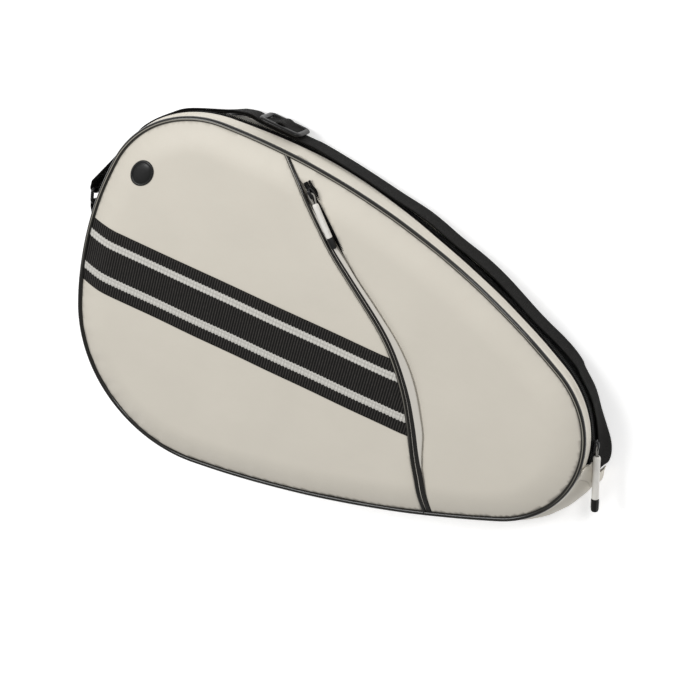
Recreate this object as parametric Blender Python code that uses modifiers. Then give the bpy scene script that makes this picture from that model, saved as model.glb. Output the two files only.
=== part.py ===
"""Paddle case: a padded teardrop cover that opens like a clamshell.

The case lies on its back panel. +X runs along the long axis to the narrow
tip, +Y to the side that the main zip runs along, +Z out of the front panel.
Everything is in metres.
"""

import math

import bmesh
import bpy
from mathutils import Matrix, Vector

# ---------------------------------------------------------------- dimensions
# Teardrop outline: four arcs a side, measured along the piping loop.
LENGTH = 0.480
END_RADIUS = 0.330
TIP_RADIUS = 0.087
END_HALF_ANGLE = math.radians(13.0)
ZIP_SIDE_SHOULDER = 0.098
ZIP_SIDE_FLANK = 0.600
HINGE_SIDE_SHOULDER = 0.128
HINGE_SIDE_FLANK = 0.970
CHORD_ERROR = 0.00025

# The whole case is shifted so that its box is centred over the origin.
CENTRE_X = 0.0023
CENTRE_Y = -0.0091

# Heights of the two piping loops and of the padded panels.
PIPING_RADIUS = 0.0022
BACK_RIM_Z = 0.0033
FRONT_RIM_Z = 0.0455
FRONT_TOP_Z = 0.0535
PANEL_RIM_Z = 0.0462
PANEL_INSET = 0.0030
PILLOW_WIDTH = 0.028
FACE_THICKNESS = 0.0013
POCKET_DEPTH = 0.0047
CLEARANCE = 0.0003

# Gusset walls.
WALL_OFFSET = 0.0012
WALL_THICKNESS = 0.0012
LINING_OFFSET = -0.0010
LINING_THICKNESS = 0.0007
ZIP_SIDE_BULGE = 0.0012
HINGE_SIDE_BULGE = 0.0062
WALL_LOW_Z = BACK_RIM_Z + PIPING_RADIUS + CLEARANCE
WALL_HIGH_Z = FRONT_RIM_Z - PIPING_RADIUS - CLEARANCE
HINGE_Z = 0.0245

# Main zip: it starts at the tip and ends round the wide end.
ZIP_START = math.radians(0.5)
ZIP_END = math.radians(222.0)
STRIP_WIDTH = 0.0096
STRIP_SWELL = 0.0100
STRIP_SWELL_X = -0.045
STRIP_SWELL_SPREAD = 0.075
TAPE_WIDTH = 0.0022
TAPE_THICKNESS = 0.0007
COIL_RADIUS = 0.0011
COIL_SPACING = 0.0018
TAPE_START = COIL_SPACING + COIL_RADIUS + CLEARANCE

# Main slider and its puller.
SLIDER_ANGLE = math.radians(12.5)
SLIDER_LENGTH = 0.0110
SLIDER_WIDTH = 0.0080
PLATE_GAP = 0.0019
PLATE_THICKNESS = 0.0011
POST_WIDTH = 0.0008
BAIL_HEIGHT = 0.0030
MAIN_PULLER_SPLAY = math.radians(5.5)
MAIN_TUBE_RADIUS = 0.0032
MAIN_TUBE_LENGTH = 0.040
MAIN_TIP_LENGTH = 0.012

# Front pocket: a diagonal seam of two straight runs and one arc.
SEAM_START = (-0.0852, 0.1475)
SEAM_HEADING = math.radians(-40.8)
SEAM_STRAIGHT = 0.1705
SEAM_ARC_RADIUS = 0.1685
SEAM_TURN = math.radians(23.2)
SEAM_LOWER = 0.096
POCKET_PIPING_RADIUS = 0.0018
POCKET_PIPING_U = 0.0022
POCKET_ZIP_U = 0.0120
SIDE_PANEL_U = 0.0158
POCKET_ZIP_FROM = 0.028
POCKET_ZIP_TO = 0.300
POCKET_TAPE_WIDTH = 0.0030
POCKET_TAPE_THICKNESS = 0.0004
POCKET_SLIDER_AT = 0.036
POCKET_PULLER_SPLAY = math.radians(6.5)
POCKET_SLIDER_LENGTH = 0.0095
POCKET_SLIDER_WIDTH = 0.0064
POCKET_TUBE_RADIUS = 0.0027
POCKET_TUBE_LENGTH = 0.031
POCKET_TIP_LENGTH = 0.010
FLAP_FROM = 0.045
FLAP_INNER_U = 0.0046
FLAP_OUTER_U = 0.0081
FLAP_THICKNESS = 0.0010
POCKET_COIL_Z = FRONT_TOP_Z - 0.0006

# Striped webbing band and badge on the pocket panel.
BAND_WIDTH = 0.0627
BAND_THICKNESS = 0.0010
BAND_POINT = (-0.1766, -0.0162)
BAND_HEADING = math.radians(1.84)
BADGE_AT = (-0.2018, 0.0785)
BADGE_HALF_LENGTH = 0.0135
BADGE_HALF_WIDTH = 0.0100
BADGE_HEADING = math.radians(62.0)

# Shoulder strap, its ring and its slider buckle.
STRAP_WIDTH = 0.022
STRAP_THICKNESS = 0.0013
STRAP_TIP_Z = 0.0008
STRAP_FLANK_Z = 0.0056
STRAP_HEAD_Z = 0.0039
STRAP_LAYER_GAP = 0.0022
RING_INNER = (-0.2540, 0.0105)
RING_OUTER = (-0.2568, 0.0238)
RING_WIRE = 0.0015
RING_HALF_HEIGHT = 0.0130
STRAP_LOOP_RADIUS = 0.0039
BUCKLE_X = -0.1035
BUCKLE_Y = 0.1575
BUCKLE_LENGTH = 0.038
BUCKLE_BAR = 0.0045
BUCKLE_THICKNESS = 0.0026

# ---------------------------------------------------------------- materials
MATERIALS = {
    "cream_fabric": ((0.66, 0.63, 0.55), 0.62, 0.0),
    "cream_edge": ((0.70, 0.67, 0.60), 0.58, 0.0),
    "black_piping": ((0.012, 0.011, 0.009), 0.28, 0.0),
    "black_webbing": ((0.014, 0.013, 0.012), 0.75, 0.0),
    "striped_webbing": ((0.030, 0.029, 0.027), 0.80, 0.0),
    "zip_black": ((0.012, 0.012, 0.012), 0.55, 0.0),
    "slider_metal": ((0.020, 0.020, 0.020), 0.32, 0.9),
    "cream_rubber": ((0.74, 0.71, 0.66), 0.50, 0.0),
    "black_rubber": ((0.015, 0.015, 0.015), 0.45, 0.0),
    "buckle_plastic": ((0.016, 0.016, 0.016), 0.35, 0.0),
    "badge_black": ((0.014, 0.014, 0.014), 0.40, 0.0),
    "lining_black": ((0.030, 0.030, 0.032), 0.85, 0.0),
    "foam_grey": ((0.20, 0.20, 0.21), 0.95, 0.0),
}


def material(name):
    found = bpy.data.materials.get(name)
    if found:
        return found
    colour, roughness, metallic = MATERIALS[name]
    made = bpy.data.materials.new(name)
    made.use_nodes = True
    shader = made.node_tree.nodes["Principled BSDF"]
    shader.inputs["Base Color"].default_value = (*colour, 1.0)
    shader.inputs["Roughness"].default_value = roughness
    shader.inputs["Metallic"].default_value = metallic
    made.diffuse_color = (*colour, 1.0)
    return made


# ---------------------------------------------------------------- scene
def clear_scene():
    for old in list(bpy.data.objects):
        bpy.data.objects.remove(old, do_unlink=True)


def new_collection(name):
    made = bpy.data.collections.new(name)
    bpy.context.scene.collection.children.link(made)
    return made


clear_scene()
PARTS = new_collection("paddle_case")
CUTTERS = new_collection("cutters")


def new_empty(name, location, parent=None):
    made = bpy.data.objects.new(name, None)
    made.empty_display_size = 0.02
    made.location = location
    made.parent = parent
    PARTS.objects.link(made)
    return made


def add_part(name, data, look, parent, location=(0, 0, 0)):
    made = bpy.data.objects.new(name, data)
    made.parent = parent
    made.location = location
    made.data.materials.append(material(look))
    PARTS.objects.link(made)
    return made


def shade(obj, angle=40.0):
    obj.data.shade_smooth()
    obj.data.set_sharp_from_angle(angle=math.radians(angle))


# ---------------------------------------------------------------- outline
def direction(angle):
    return Vector((math.cos(angle), math.sin(angle)))


def circles_meet(first, first_radius, second, second_radius):
    """The point below both centres that is at the two given distances."""
    span = second - first
    gap = span.length
    along = (first_radius**2 - second_radius**2 + gap**2) / (2 * gap)
    across = math.sqrt(first_radius**2 - along**2)
    unit = span / gap
    return first + unit * along + Vector((unit.y, -unit.x)) * across


def side_arcs(shoulder, flank):
    """(centre, radius, first angle, last angle) of one side, from the tip."""
    end_centre = Vector((END_RADIUS - LENGTH / 2, 0))
    tip_centre = Vector((LENGTH / 2 - TIP_RADIUS, 0))
    end_join = math.pi - END_HALF_ANGLE
    shoulder_centre = end_centre + direction(end_join) * (END_RADIUS - shoulder)
    flank_centre = circles_meet(
        shoulder_centre, flank - shoulder, tip_centre, flank - TIP_RADIUS
    )
    to_shoulder = shoulder_centre - flank_centre
    to_tip = tip_centre - flank_centre
    shoulder_join = math.atan2(to_shoulder.y, to_shoulder.x)
    tip_join = math.atan2(to_tip.y, to_tip.x)
    return [
        (tip_centre, TIP_RADIUS, 0.0, tip_join),
        (flank_centre, flank, tip_join, shoulder_join),
        (shoulder_centre, shoulder, shoulder_join, end_join),
        (end_centre, END_RADIUS, end_join, math.pi),
    ]


def whole_outline():
    """All arcs round the case, with angles growing from 0 at the tip."""
    arcs = side_arcs(ZIP_SIDE_SHOULDER, ZIP_SIDE_FLANK)
    mirrored = []
    for centre, radius, first, last in side_arcs(HINGE_SIDE_SHOULDER, HINGE_SIDE_FLANK):
        flipped = Vector((centre.x, -centre.y))
        mirrored.append((flipped, radius, 2 * math.pi - last, 2 * math.pi - first))
    return arcs + mirrored[::-1]


ARCS = whole_outline()
TIP_ARC = ARCS[0]


def arc_at(angle):
    turned = angle % (2 * math.pi)
    for arc in ARCS:
        if turned <= arc[3] + 1e-9:
            return arc
    return ARCS[-1]


def rim_point(angle, offset=0.0):
    """The outline's point whose outward normal is at this angle."""
    centre, radius, _, _ = arc_at(angle)
    return centre + direction(angle) * (radius + offset)


def rim_angles():
    """Angles all round, close enough that no chord leaves its arc by more than CHORD_ERROR."""
    angles = []
    for _, radius, first, last in ARCS:
        step = 2 * math.acos(1 - CHORD_ERROR / radius)
        count = max(2, math.ceil((last - first) / step))
        angles += [first + (last - first) * i / count for i in range(count)]
    return angles


RIM_ANGLES = rim_angles()


def angles_between(first, last):
    """The rim angles from first to last, which may pass a whole turn."""
    inside = [a for a in RIM_ANGLES if first + 0.02 < a < last - 0.02]
    wrapped = [a + 2 * math.pi for a in RIM_ANGLES]
    inside += [a for a in wrapped if first + 0.02 < a < last - 0.02]
    return [first] + inside + [last]


def rim_distance(x, y):
    """How far inside the outline a point lies."""
    best = 1.0
    for centre, radius, first, last in ARCS:
        away = Vector((x, y)) - centre
        angle = math.atan2(away.y, away.x) % (2 * math.pi)
        if first - 1e-6 <= angle <= last + 1e-6:
            best = min(best, radius - away.length)
    return best


def pillow_rise(distance):
    """Share of the crown reached this far in from the panel's edge."""
    share = min(1.0, max(0.0, (distance - PANEL_INSET) / PILLOW_WIDTH))
    return math.sin(share * math.pi / 2)


def panel_top(distance):
    return PANEL_RIM_Z + (FRONT_TOP_Z - PANEL_RIM_Z) * pillow_rise(distance)


# ---------------------------------------------------------------- shape makers
def flat_curve(name, points, low, high):
    """A closed outline filled and extruded from one height to the other."""
    curve = bpy.data.curves.new(name, "CURVE")
    curve.dimensions = "2D"
    curve.fill_mode = "BOTH"
    curve.extrude = (high - low) / 2
    spline = curve.splines.new("POLY")
    spline.points.add(len(points) - 1)
    for point, place in zip(spline.points, points):
        point.co = (place[0], place[1], 0, 1)
    spline.use_cyclic_u = True
    return curve


def flat_panel(name, points, low, high, look, parent):
    curve = flat_curve(name, points, low, high)
    return add_part(name, curve, look, parent, (0, 0, (low + high) / 2))


def tube(name, points, radius, look, parent, closed=False, resolution=1):
    curve = bpy.data.curves.new(name, "CURVE")
    curve.dimensions = "3D"
    curve.bevel_depth = radius
    curve.bevel_resolution = resolution
    curve.use_fill_caps = not closed
    spline = curve.splines.new("POLY")
    spline.points.add(len(points) - 1)
    for point, place in zip(spline.points, points):
        point.co = (*place, 1)
    spline.use_cyclic_u = closed
    return add_part(name, curve, look, parent)


def sheet_mesh(name, rows, closed):
    """An open sheet through rows of points that all have the same count."""
    mesh = bmesh.new()
    grid = [[mesh.verts.new(place) for place in row] for row in rows]
    count = len(grid[0])
    for lower, upper in zip(grid, grid[1:]):
        for i in range(count if closed else count - 1):
            j = (i + 1) % count
            mesh.faces.new((lower[i], lower[j], upper[j], upper[i]))
    data = bpy.data.meshes.new(name)
    mesh.to_mesh(data)
    mesh.free()
    return data


def thicken(obj, thickness):
    solid = obj.modifiers.new("Thickness", "SOLIDIFY")
    solid.thickness = thickness
    solid.offset = 0
    solid.use_even_offset = True
    return obj


def wall(name, rows, thickness, look, parent, closed=False):
    return thicken(add_part(name, sheet_mesh(name, rows, closed), look, parent), thickness)


def pillow(name, drop, thickness, steps, look, parent, inset=PANEL_INSET):
    """A crowned panel the shape of the outline, this far below the face's top."""
    mesh = bmesh.new()
    rings = []
    for i in range(steps + 1):
        distance = inset + (PANEL_INSET + PILLOW_WIDTH - inset) * i / steps
        height = panel_top(distance) - drop - thickness / 2
        ring = [rim_point(angle, -distance) for angle in RIM_ANGLES]
        rings.append([mesh.verts.new((p.x, p.y, height)) for p in ring])
    for outer, inner in zip(rings, rings[1:]):
        for i in range(len(outer)):
            j = (i + 1) % len(outer)
            mesh.faces.new((outer[i], outer[j], inner[j], inner[i]))
    mesh.faces.new(rings[-1])
    data = bpy.data.meshes.new(name)
    mesh.to_mesh(data)
    mesh.free()
    return thicken(add_part(name, data, look, parent), thickness)


def cutter(name, points, low, high, parent):
    """A prism for cutting, made from a filled outline."""
    curve = flat_curve(name + "_outline", points, low, high)
    outline = bpy.data.objects.new(name + "_outline", curve)
    outline.location = (0, 0, (low + high) / 2)
    outline.parent = parent
    CUTTERS.objects.link(outline)
    bpy.context.view_layer.update()
    graph = bpy.context.evaluated_depsgraph_get()
    data = bpy.data.meshes.new_from_object(outline.evaluated_get(graph))
    welded = bmesh.new()
    welded.from_mesh(data)
    bmesh.ops.remove_doubles(welded, verts=welded.verts, dist=1e-6)
    bmesh.ops.recalc_face_normals(welded, faces=welded.faces)
    welded.to_mesh(data)
    welded.free()
    made = bpy.data.objects.new(name, data)
    made.matrix_world = outline.matrix_world.copy()
    made.hide_render = True
    made.display_type = "WIRE"
    CUTTERS.objects.link(made)
    bpy.data.objects.remove(outline, do_unlink=True)
    return made


def boolean(obj, other, operation):
    cut = obj.modifiers.new(operation.title(), "BOOLEAN")
    cut.operation = operation
    cut.object = other


def joined_boxes(name, boxes, look, parent, frame):
    """Boxes given as (low corner, high corner), united into one body."""
    whole = None
    for low, high in boxes:
        mesh = bmesh.new()
        bmesh.ops.create_cube(mesh, size=1.0)
        size = [b - a for a, b in zip(low, high)]
        middle = [(a + b) / 2 for a, b in zip(low, high)]
        bmesh.ops.scale(mesh, vec=size, verts=mesh.verts)
        bmesh.ops.translate(mesh, vec=middle, verts=mesh.verts)
        data = bpy.data.meshes.new(name)
        mesh.to_mesh(data)
        mesh.free()
        if whole is None:
            whole = add_part(name, data, look, parent)
            whole.matrix_local = frame
            continue
        piece = bpy.data.objects.new(name + "_piece", data)
        piece.parent = parent
        piece.matrix_local = frame
        piece.hide_render = True
        piece.display_type = "WIRE"
        CUTTERS.objects.link(piece)
        boolean(whole, piece, "UNION")
    return whole


def turned(name, profile, look, parent, frame, segments=16):
    """A solid of revolution about the frame's X axis from (x, radius) pairs."""
    mesh = bmesh.new()
    places = [mesh.verts.new((radius, 0, -x)) for x, radius in profile]
    for first, second in zip(places, places[1:]):
        mesh.edges.new((first, second))
    data = bpy.data.meshes.new(name)
    mesh.to_mesh(data)
    mesh.free()
    made = add_part(name, data, look, parent)
    screw = made.modifiers.new("Turn", "SCREW")
    screw.axis = "Z"
    screw.steps = segments
    screw.render_steps = segments
    screw.use_merge_vertices = True
    screw.merge_threshold = 0.00001
    made.matrix_local = frame @ Matrix.Rotation(math.radians(-90), 4, "Y")
    return made


def spline_points(guides, per_span):
    """Points on a Catmull-Rom curve through the guides."""
    found = []
    for i in range(len(guides) - 1):
        before = guides[max(i - 1, 0)]
        start = guides[i]
        end = guides[i + 1]
        after = guides[min(i + 2, len(guides) - 1)]
        for k in range(per_span):
            t = k / per_span
            found.append(
                0.5
                * (
                    2 * start
                    + (end - before) * t
                    + (2 * before - 5 * start + 4 * end - after) * t**2
                    + (3 * start - before - 3 * end + after) * t**3
                )
            )
    return found + [guides[-1]]


# ---------------------------------------------------------------- bodies
CASE = new_empty("case_origin", (-CENTRE_X, -CENTRE_Y, 0))
HINGE_ANGLE = (ARCS[-2][2] + ARCS[-2][3]) / 2
HINGE_POINT = rim_point(HINGE_ANGLE, WALL_OFFSET + HINGE_SIDE_BULGE + 0.0012)
HINGE = new_empty("front_shell_hinge", (*HINGE_POINT, HINGE_Z), CASE)
FRONT = new_empty("front_shell_origin", (-HINGE_POINT.x, -HINGE_POINT.y, -HINGE_Z), HINGE)


# ---------------------------------------------------------------- gusset walls
def strip_width(x):
    return STRIP_WIDTH + STRIP_SWELL * math.exp(-(((x - STRIP_SWELL_X) / STRIP_SWELL_SPREAD) ** 2))


def zip_height(angle):
    """Height of the line where the two zip coils meet."""
    x = rim_point(angle).x
    return WALL_HIGH_Z - strip_width(x) - CLEARANCE - TAPE_WIDTH - TAPE_START


def bulge(angle):
    """How far the gusset swells out halfway up; even along the zip side."""
    depth = max(0.0, -math.sin(angle))
    return ZIP_SIDE_BULGE + (HINGE_SIDE_BULGE - ZIP_SIDE_BULGE) * depth**0.5


def wall_offset(angle, height):
    share = (height - WALL_LOW_Z) / (WALL_HIGH_Z - WALL_LOW_Z)
    return WALL_OFFSET + bulge(angle) * math.sin(math.pi * min(1.0, max(0.0, share)))


def wall_rows(angles, low, high, count, offset=None):
    """Rows of points up a gusset wall between two height functions."""
    rows = []
    for i in range(count + 1):
        row = []
        for angle in angles:
            height = low(angle) + (high(angle) - low(angle)) * i / count
            away = wall_offset(angle, height) if offset is None else offset
            place = rim_point(angle, away)
            row.append((place.x, place.y, height))
        rows.append(row)
    return rows


def zip_lower(angle):
    return zip_height(angle) - TAPE_START - TAPE_WIDTH


def zip_upper(angle):
    return zip_height(angle) + TAPE_START + TAPE_WIDTH


def on_zip_side(angle):
    return ZIP_START <= angle % (2 * math.pi) <= ZIP_END


def back_lining_top(angle):
    return zip_lower(angle) - 0.0006 if on_zip_side(angle) else HINGE_Z - 0.0006


def front_lining_base(angle):
    return zip_upper(angle) + 0.0006 if on_zip_side(angle) else HINGE_Z + 0.0006


def build_gussets():
    along_zip = angles_between(ZIP_START, ZIP_END)
    gap = 0.004
    hinge_run = angles_between(ZIP_END + gap, ZIP_START + 2 * math.pi - gap)
    wall(
        "gusset_back_strip",
        wall_rows(along_zip, lambda a: WALL_LOW_Z, lambda a: zip_lower(a) - CLEARANCE, 1),
        WALL_THICKNESS, "cream_fabric", CASE,
    )
    wall(
        "gusset_front_strip",
        wall_rows(along_zip, lambda a: zip_upper(a) + CLEARANCE, lambda a: WALL_HIGH_Z, 1),
        WALL_THICKNESS, "cream_fabric", FRONT,
    )
    wall(
        "hinge_gusset_lower",
        wall_rows(hinge_run, lambda a: WALL_LOW_Z, lambda a: HINGE_Z - CLEARANCE, 2),
        WALL_THICKNESS, "cream_fabric", CASE,
    )
    wall(
        "hinge_gusset_upper",
        wall_rows(hinge_run, lambda a: HINGE_Z + CLEARANCE, lambda a: WALL_HIGH_Z, 2),
        WALL_THICKNESS, "cream_fabric", FRONT,
    )
    all_round = RIM_ANGLES
    wall(
        "gusset_back_lining",
        wall_rows(all_round, lambda a: WALL_LOW_Z, back_lining_top, 1, LINING_OFFSET),
        LINING_THICKNESS, "lining_black", CASE, closed=True,
    )
    wall(
        "gusset_front_lining",
        wall_rows(all_round, front_lining_base, lambda a: WALL_HIGH_Z, 1, LINING_OFFSET),
        LINING_THICKNESS, "lining_black", FRONT, closed=True,
    )


def build_main_zip():
    along_zip = angles_between(ZIP_START, ZIP_END)
    wall(
        "zip_tape_back",
        wall_rows(along_zip, zip_lower, lambda a: zip_height(a) - TAPE_START, 1),
        TAPE_THICKNESS, "zip_black", CASE,
    )
    wall(
        "zip_tape_front",
        wall_rows(along_zip, lambda a: zip_height(a) + TAPE_START, zip_upper, 1),
        TAPE_THICKNESS, "zip_black", FRONT,
    )
    stop_room = 0.020
    coil_run = angles_between(ZIP_START + 2 * stop_room, ZIP_END - stop_room)
    for name, sign, parent in (("zip_coil_back", -1, CASE), ("zip_coil_front", 1, FRONT)):
        points = []
        for angle in coil_run:
            place = rim_point(angle, wall_offset(angle, zip_height(angle)))
            points.append((place.x, place.y, zip_height(angle) + sign * COIL_SPACING))
        tube(name, points, COIL_RADIUS, "zip_black", parent)
    for name, angle in (("zip_stop_tip", ZIP_START + 0.017), ("zip_stop_head", ZIP_END - 0.010)):
        frame = rim_frame(angle, zip_height(angle))
        half = (0.0010, 0.0008, COIL_SPACING + COIL_RADIUS)
        joined_boxes(
            name, [([-v for v in half], list(half))], "slider_metal", CASE, frame
        )


def rim_frame(angle, height, outward=0.0):
    """A frame on the gusset: X forward along the rim, Y outward, Z up.

    Forward runs back towards the tip, so that X, Y and Z are right-handed.
    """
    out = direction(angle)
    along = Vector((out.y, -out.x, 0))
    away = Vector((out.x, out.y, 0))
    place = rim_point(angle, wall_offset(angle, height) + outward)
    turn = Matrix((along, away, Vector((0, 0, 1)))).transposed().to_4x4()
    return Matrix.Translation((place.x, place.y, height)) @ turn


# ---------------------------------------------------------------- panels
def build_back_panel():
    def loop(inset):
        return [rim_point(angle, -inset) for angle in RIM_ANGLES]

    flat_panel("back_panel", loop(PANEL_INSET), 0.0, 0.0012, "cream_fabric", CASE)
    flat_panel("back_foam", loop(0.0045), 0.0015, 0.0039, "foam_grey", CASE)
    flat_panel("back_lining", loop(0.0040), 0.0042, 0.0048, "lining_black", CASE)


def build_piping():
    for name, height, parent in (
        ("back_piping", BACK_RIM_Z, CASE),
        ("front_piping", FRONT_RIM_Z, FRONT),
    ):
        points = [(*rim_point(angle), height) for angle in RIM_ANGLES]
        tube(name, points, PIPING_RADIUS, "black_piping", parent, closed=True)


# ---------------------------------------------------------------- pocket seam
def seam_point(s, u):
    """Point s along the pocket seam and u to its right-hand, tip-ward side."""
    start = Vector(SEAM_START)
    ahead = direction(SEAM_HEADING)
    across = Vector((-ahead.y, ahead.x))
    if s <= SEAM_STRAIGHT:
        return start + ahead * s + across * u
    bend = start + ahead * SEAM_STRAIGHT
    centre = bend - across * SEAM_ARC_RADIUS
    turn = min(SEAM_TURN, (s - SEAM_STRAIGHT) / SEAM_ARC_RADIUS)
    facing = math.atan2(across.y, across.x) - turn
    place = centre + direction(facing) * (SEAM_ARC_RADIUS + u)
    rest = s - SEAM_STRAIGHT - SEAM_ARC_RADIUS * turn
    return place + direction(facing - math.pi / 2) * max(0.0, rest)


SEAM_LENGTH = SEAM_STRAIGHT + SEAM_ARC_RADIUS * SEAM_TURN + SEAM_LOWER


def seam_stations(first, last):
    """Distances along the seam: its straight ends need none in between."""
    arc_end = SEAM_STRAIGHT + SEAM_ARC_RADIUS * SEAM_TURN
    steps = 6
    inner = [SEAM_STRAIGHT + (arc_end - SEAM_STRAIGHT) * i / steps for i in range(steps + 1)]
    return [first] + [s for s in inner if first < s < last] + [last]


def seam_region(u, far):
    """A closed outline on one side of the seam, reaching well past the rim."""
    edge = [seam_point(s, u) for s in seam_stations(-0.08, SEAM_LENGTH + 0.10)]
    return edge + [Vector((far, edge[-1].y)), Vector((far, edge[0].y))]


def seam_line(u, first, last, height):
    return [(*seam_point(s, u), height) for s in seam_stations(first, last)]


def build_front_panels():
    level = FACE_THICKNESS + POCKET_DEPTH
    pillow("pocket_back_panel", level, 0.0009, 2, "cream_fabric", FRONT)
    pillow("front_foam", level + 0.0012, 0.0024, 2, "foam_grey", FRONT, 0.0060)
    pillow("front_lining", level + 0.0039, 0.0006, 2, "lining_black", FRONT)
    pocket_panel = pillow("pocket_panel", 0.0, FACE_THICKNESS, 4, "cream_fabric", FRONT)
    side_panel = pillow("side_panel", 0.0, FACE_THICKNESS, 4, "cream_fabric", FRONT)
    right = cutter("right_of_seam", seam_region(0.0, 0.35), 0.02, 0.08, FRONT)
    left = cutter("left_of_zip", seam_region(SIDE_PANEL_U, -0.35), 0.02, 0.08, FRONT)
    boolean(pocket_panel, right, "DIFFERENCE")
    boolean(side_panel, left, "DIFFERENCE")


def seam_rim_stations():
    """Stations along the whole seam, closer together on the panel's slopes."""
    ends = 5
    slope = 0.045
    margin = 0.010
    first = [margin + (slope - margin) * i / ends for i in range(ends)]
    last = [SEAM_LENGTH - s for s in first[::-1]]
    middle = seam_stations(slope, SEAM_LENGTH - slope)
    return first + middle + last


def build_pocket_trim():
    points = []
    for s in seam_rim_stations():
        place = seam_point(s, POCKET_PIPING_U)
        points.append((place.x, place.y, panel_top(rim_distance(place.x, place.y)) + 0.0002))
    tube("pocket_piping", points, POCKET_PIPING_RADIUS, "black_piping", FRONT, resolution=1)
    rows = []
    for u in (FLAP_INNER_U, FLAP_OUTER_U):
        height = FRONT_TOP_Z - CLEARANCE - FLAP_THICKNESS / 2
        rows.append(seam_line(u, FLAP_FROM, SEAM_LENGTH - 0.040, height))
    wall("zip_flap", rows, FLAP_THICKNESS, "cream_edge", FRONT)


def build_pocket_zip():
    slot = 0.0006
    tape_z = POCKET_COIL_Z - COIL_RADIUS - CLEARANCE - POCKET_TAPE_THICKNESS / 2
    for side, sign in (("left", -1), ("right", 1)):
        rows = []
        for u in (slot, slot + POCKET_TAPE_WIDTH):
            rows.append(
                seam_line(POCKET_ZIP_U + sign * u, POCKET_ZIP_FROM, POCKET_ZIP_TO, tape_z)
            )
        wall("pocket_tape_" + side, rows, POCKET_TAPE_THICKNESS, "zip_black", FRONT)
        coil = seam_line(
            POCKET_ZIP_U + sign * COIL_SPACING, POCKET_ZIP_FROM, POCKET_ZIP_TO, POCKET_COIL_Z
        )
        tube("pocket_coil_" + side, coil, COIL_RADIUS, "zip_black", FRONT)


# ---------------------------------------------------------------- band, badge
def build_band():
    band = pillow(
        "striped_band", -CLEARANCE - BAND_THICKNESS, BAND_THICKNESS, 4, "striped_webbing", FRONT
    )
    ahead = direction(BAND_HEADING)
    across = Vector((-ahead.y, ahead.x)) * (BAND_WIDTH / 2)
    middle = Vector(BAND_POINT)
    start = middle - ahead * 0.12
    finish = middle + ahead * 0.40
    corners = [start - across, finish - across, finish + across, start + across]
    strip = cutter("band_outline", corners, 0.03, 0.08, FRONT)
    boolean(band, strip, "INTERSECT")
    beyond = cutter("right_of_band", seam_region(-0.0006, 0.35), 0.02, 0.08, FRONT)
    boolean(band, beyond, "DIFFERENCE")


def build_badge():
    """A plain oval badge that follows the slope of the pocket panel."""
    badge = pillow("badge", -CLEARANCE - 0.0008, 0.0008, 4, "badge_black", FRONT)
    ahead = direction(BADGE_HEADING)
    across = Vector((-ahead.y, ahead.x))
    outline = []
    sides = 20
    for i in range(sides):
        turn = direction(2 * math.pi * i / sides)
        away = ahead * turn.x * BADGE_HALF_LENGTH + across * turn.y * BADGE_HALF_WIDTH
        outline.append(Vector(BADGE_AT) + away)
    boolean(badge, cutter("badge_outline", outline, 0.03, 0.08, FRONT), "INTERSECT")


# ---------------------------------------------------------------- sliders
def slider_boxes(length, width, bail_width):
    """Two plates, the post between them and the bail on the outer plate.

    X runs along the zip, Y outward and Z across it.
    """
    outer = PLATE_GAP + PLATE_THICKNESS
    post_length = 0.0022
    bail_leg = 0.0012
    bail_span = 0.0032
    lip = 0.0001
    return [
        ((-length / 2, PLATE_GAP, -width / 2), (length / 2, outer, width / 2)),
        ((-length / 2, -outer, -width / 2), (length / 2, -PLATE_GAP, width / 2)),
        (
            (-length / 2 + lip, -PLATE_GAP - lip, -POST_WIDTH / 2),
            (-length / 2 + lip + post_length, PLATE_GAP + lip, POST_WIDTH / 2),
        ),
        (
            (-bail_span - bail_leg, outer - lip, -bail_width / 2),
            (-bail_span, outer + BAIL_HEIGHT, bail_width / 2),
        ),
        (
            (bail_span, outer - lip, -bail_width / 2),
            (bail_span + bail_leg, outer + BAIL_HEIGHT, bail_width / 2),
        ),
        (
            (-bail_span - lip, outer + BAIL_HEIGHT - bail_leg, -bail_width / 2 + lip),
            (bail_span + lip, outer + BAIL_HEIGHT - lip, bail_width / 2 - lip),
        ),
    ]


def build_puller(prefix, pivot, tube_radius, tube_length, tip_length):
    """A cord loop, its moulded grip and the end cap, pointing along +X of the pivot."""
    cord = 0.0007
    half = 0.0024
    reach = 0.0085
    bow = [
        (reach, 0, half * 0.55),
        (reach * 0.55, 0, half),
        (0.0012, 0, half),
        (0.0, 0, half * 0.6),
        (0.0, 0, -half * 0.6),
        (0.0012, 0, -half),
        (reach * 0.55, 0, -half),
        (reach, 0, -half * 0.55),
    ]
    tube(prefix + "_pull_loop", bow, cord, "black_rubber", pivot, resolution=2)
    start = reach + 0.0005
    end = start + tube_length
    soft = tube_radius * 0.22
    grip = [
        (start, 0.0),
        (start, tube_radius - soft),
        (start + soft, tube_radius),
        (end - soft, tube_radius),
        (end, tube_radius - soft),
        (end, 0.0),
    ]
    turned(prefix + "_puller_grip", grip, "cream_rubber", pivot, Matrix())
    cap_start = end + CLEARANCE
    cap_end = cap_start + tip_length
    cap_radius = tube_radius * 1.12
    cap = [
        (cap_start, 0.0),
        (cap_start, cap_radius - soft),
        (cap_start + soft, cap_radius),
        (cap_end - 2 * soft, cap_radius * 0.96),
        (cap_end - soft * 0.6, cap_radius * 0.78),
        (cap_end, 0.0),
    ]
    turned(prefix + "_puller_cap", cap, "black_rubber", pivot, Matrix())


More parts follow.
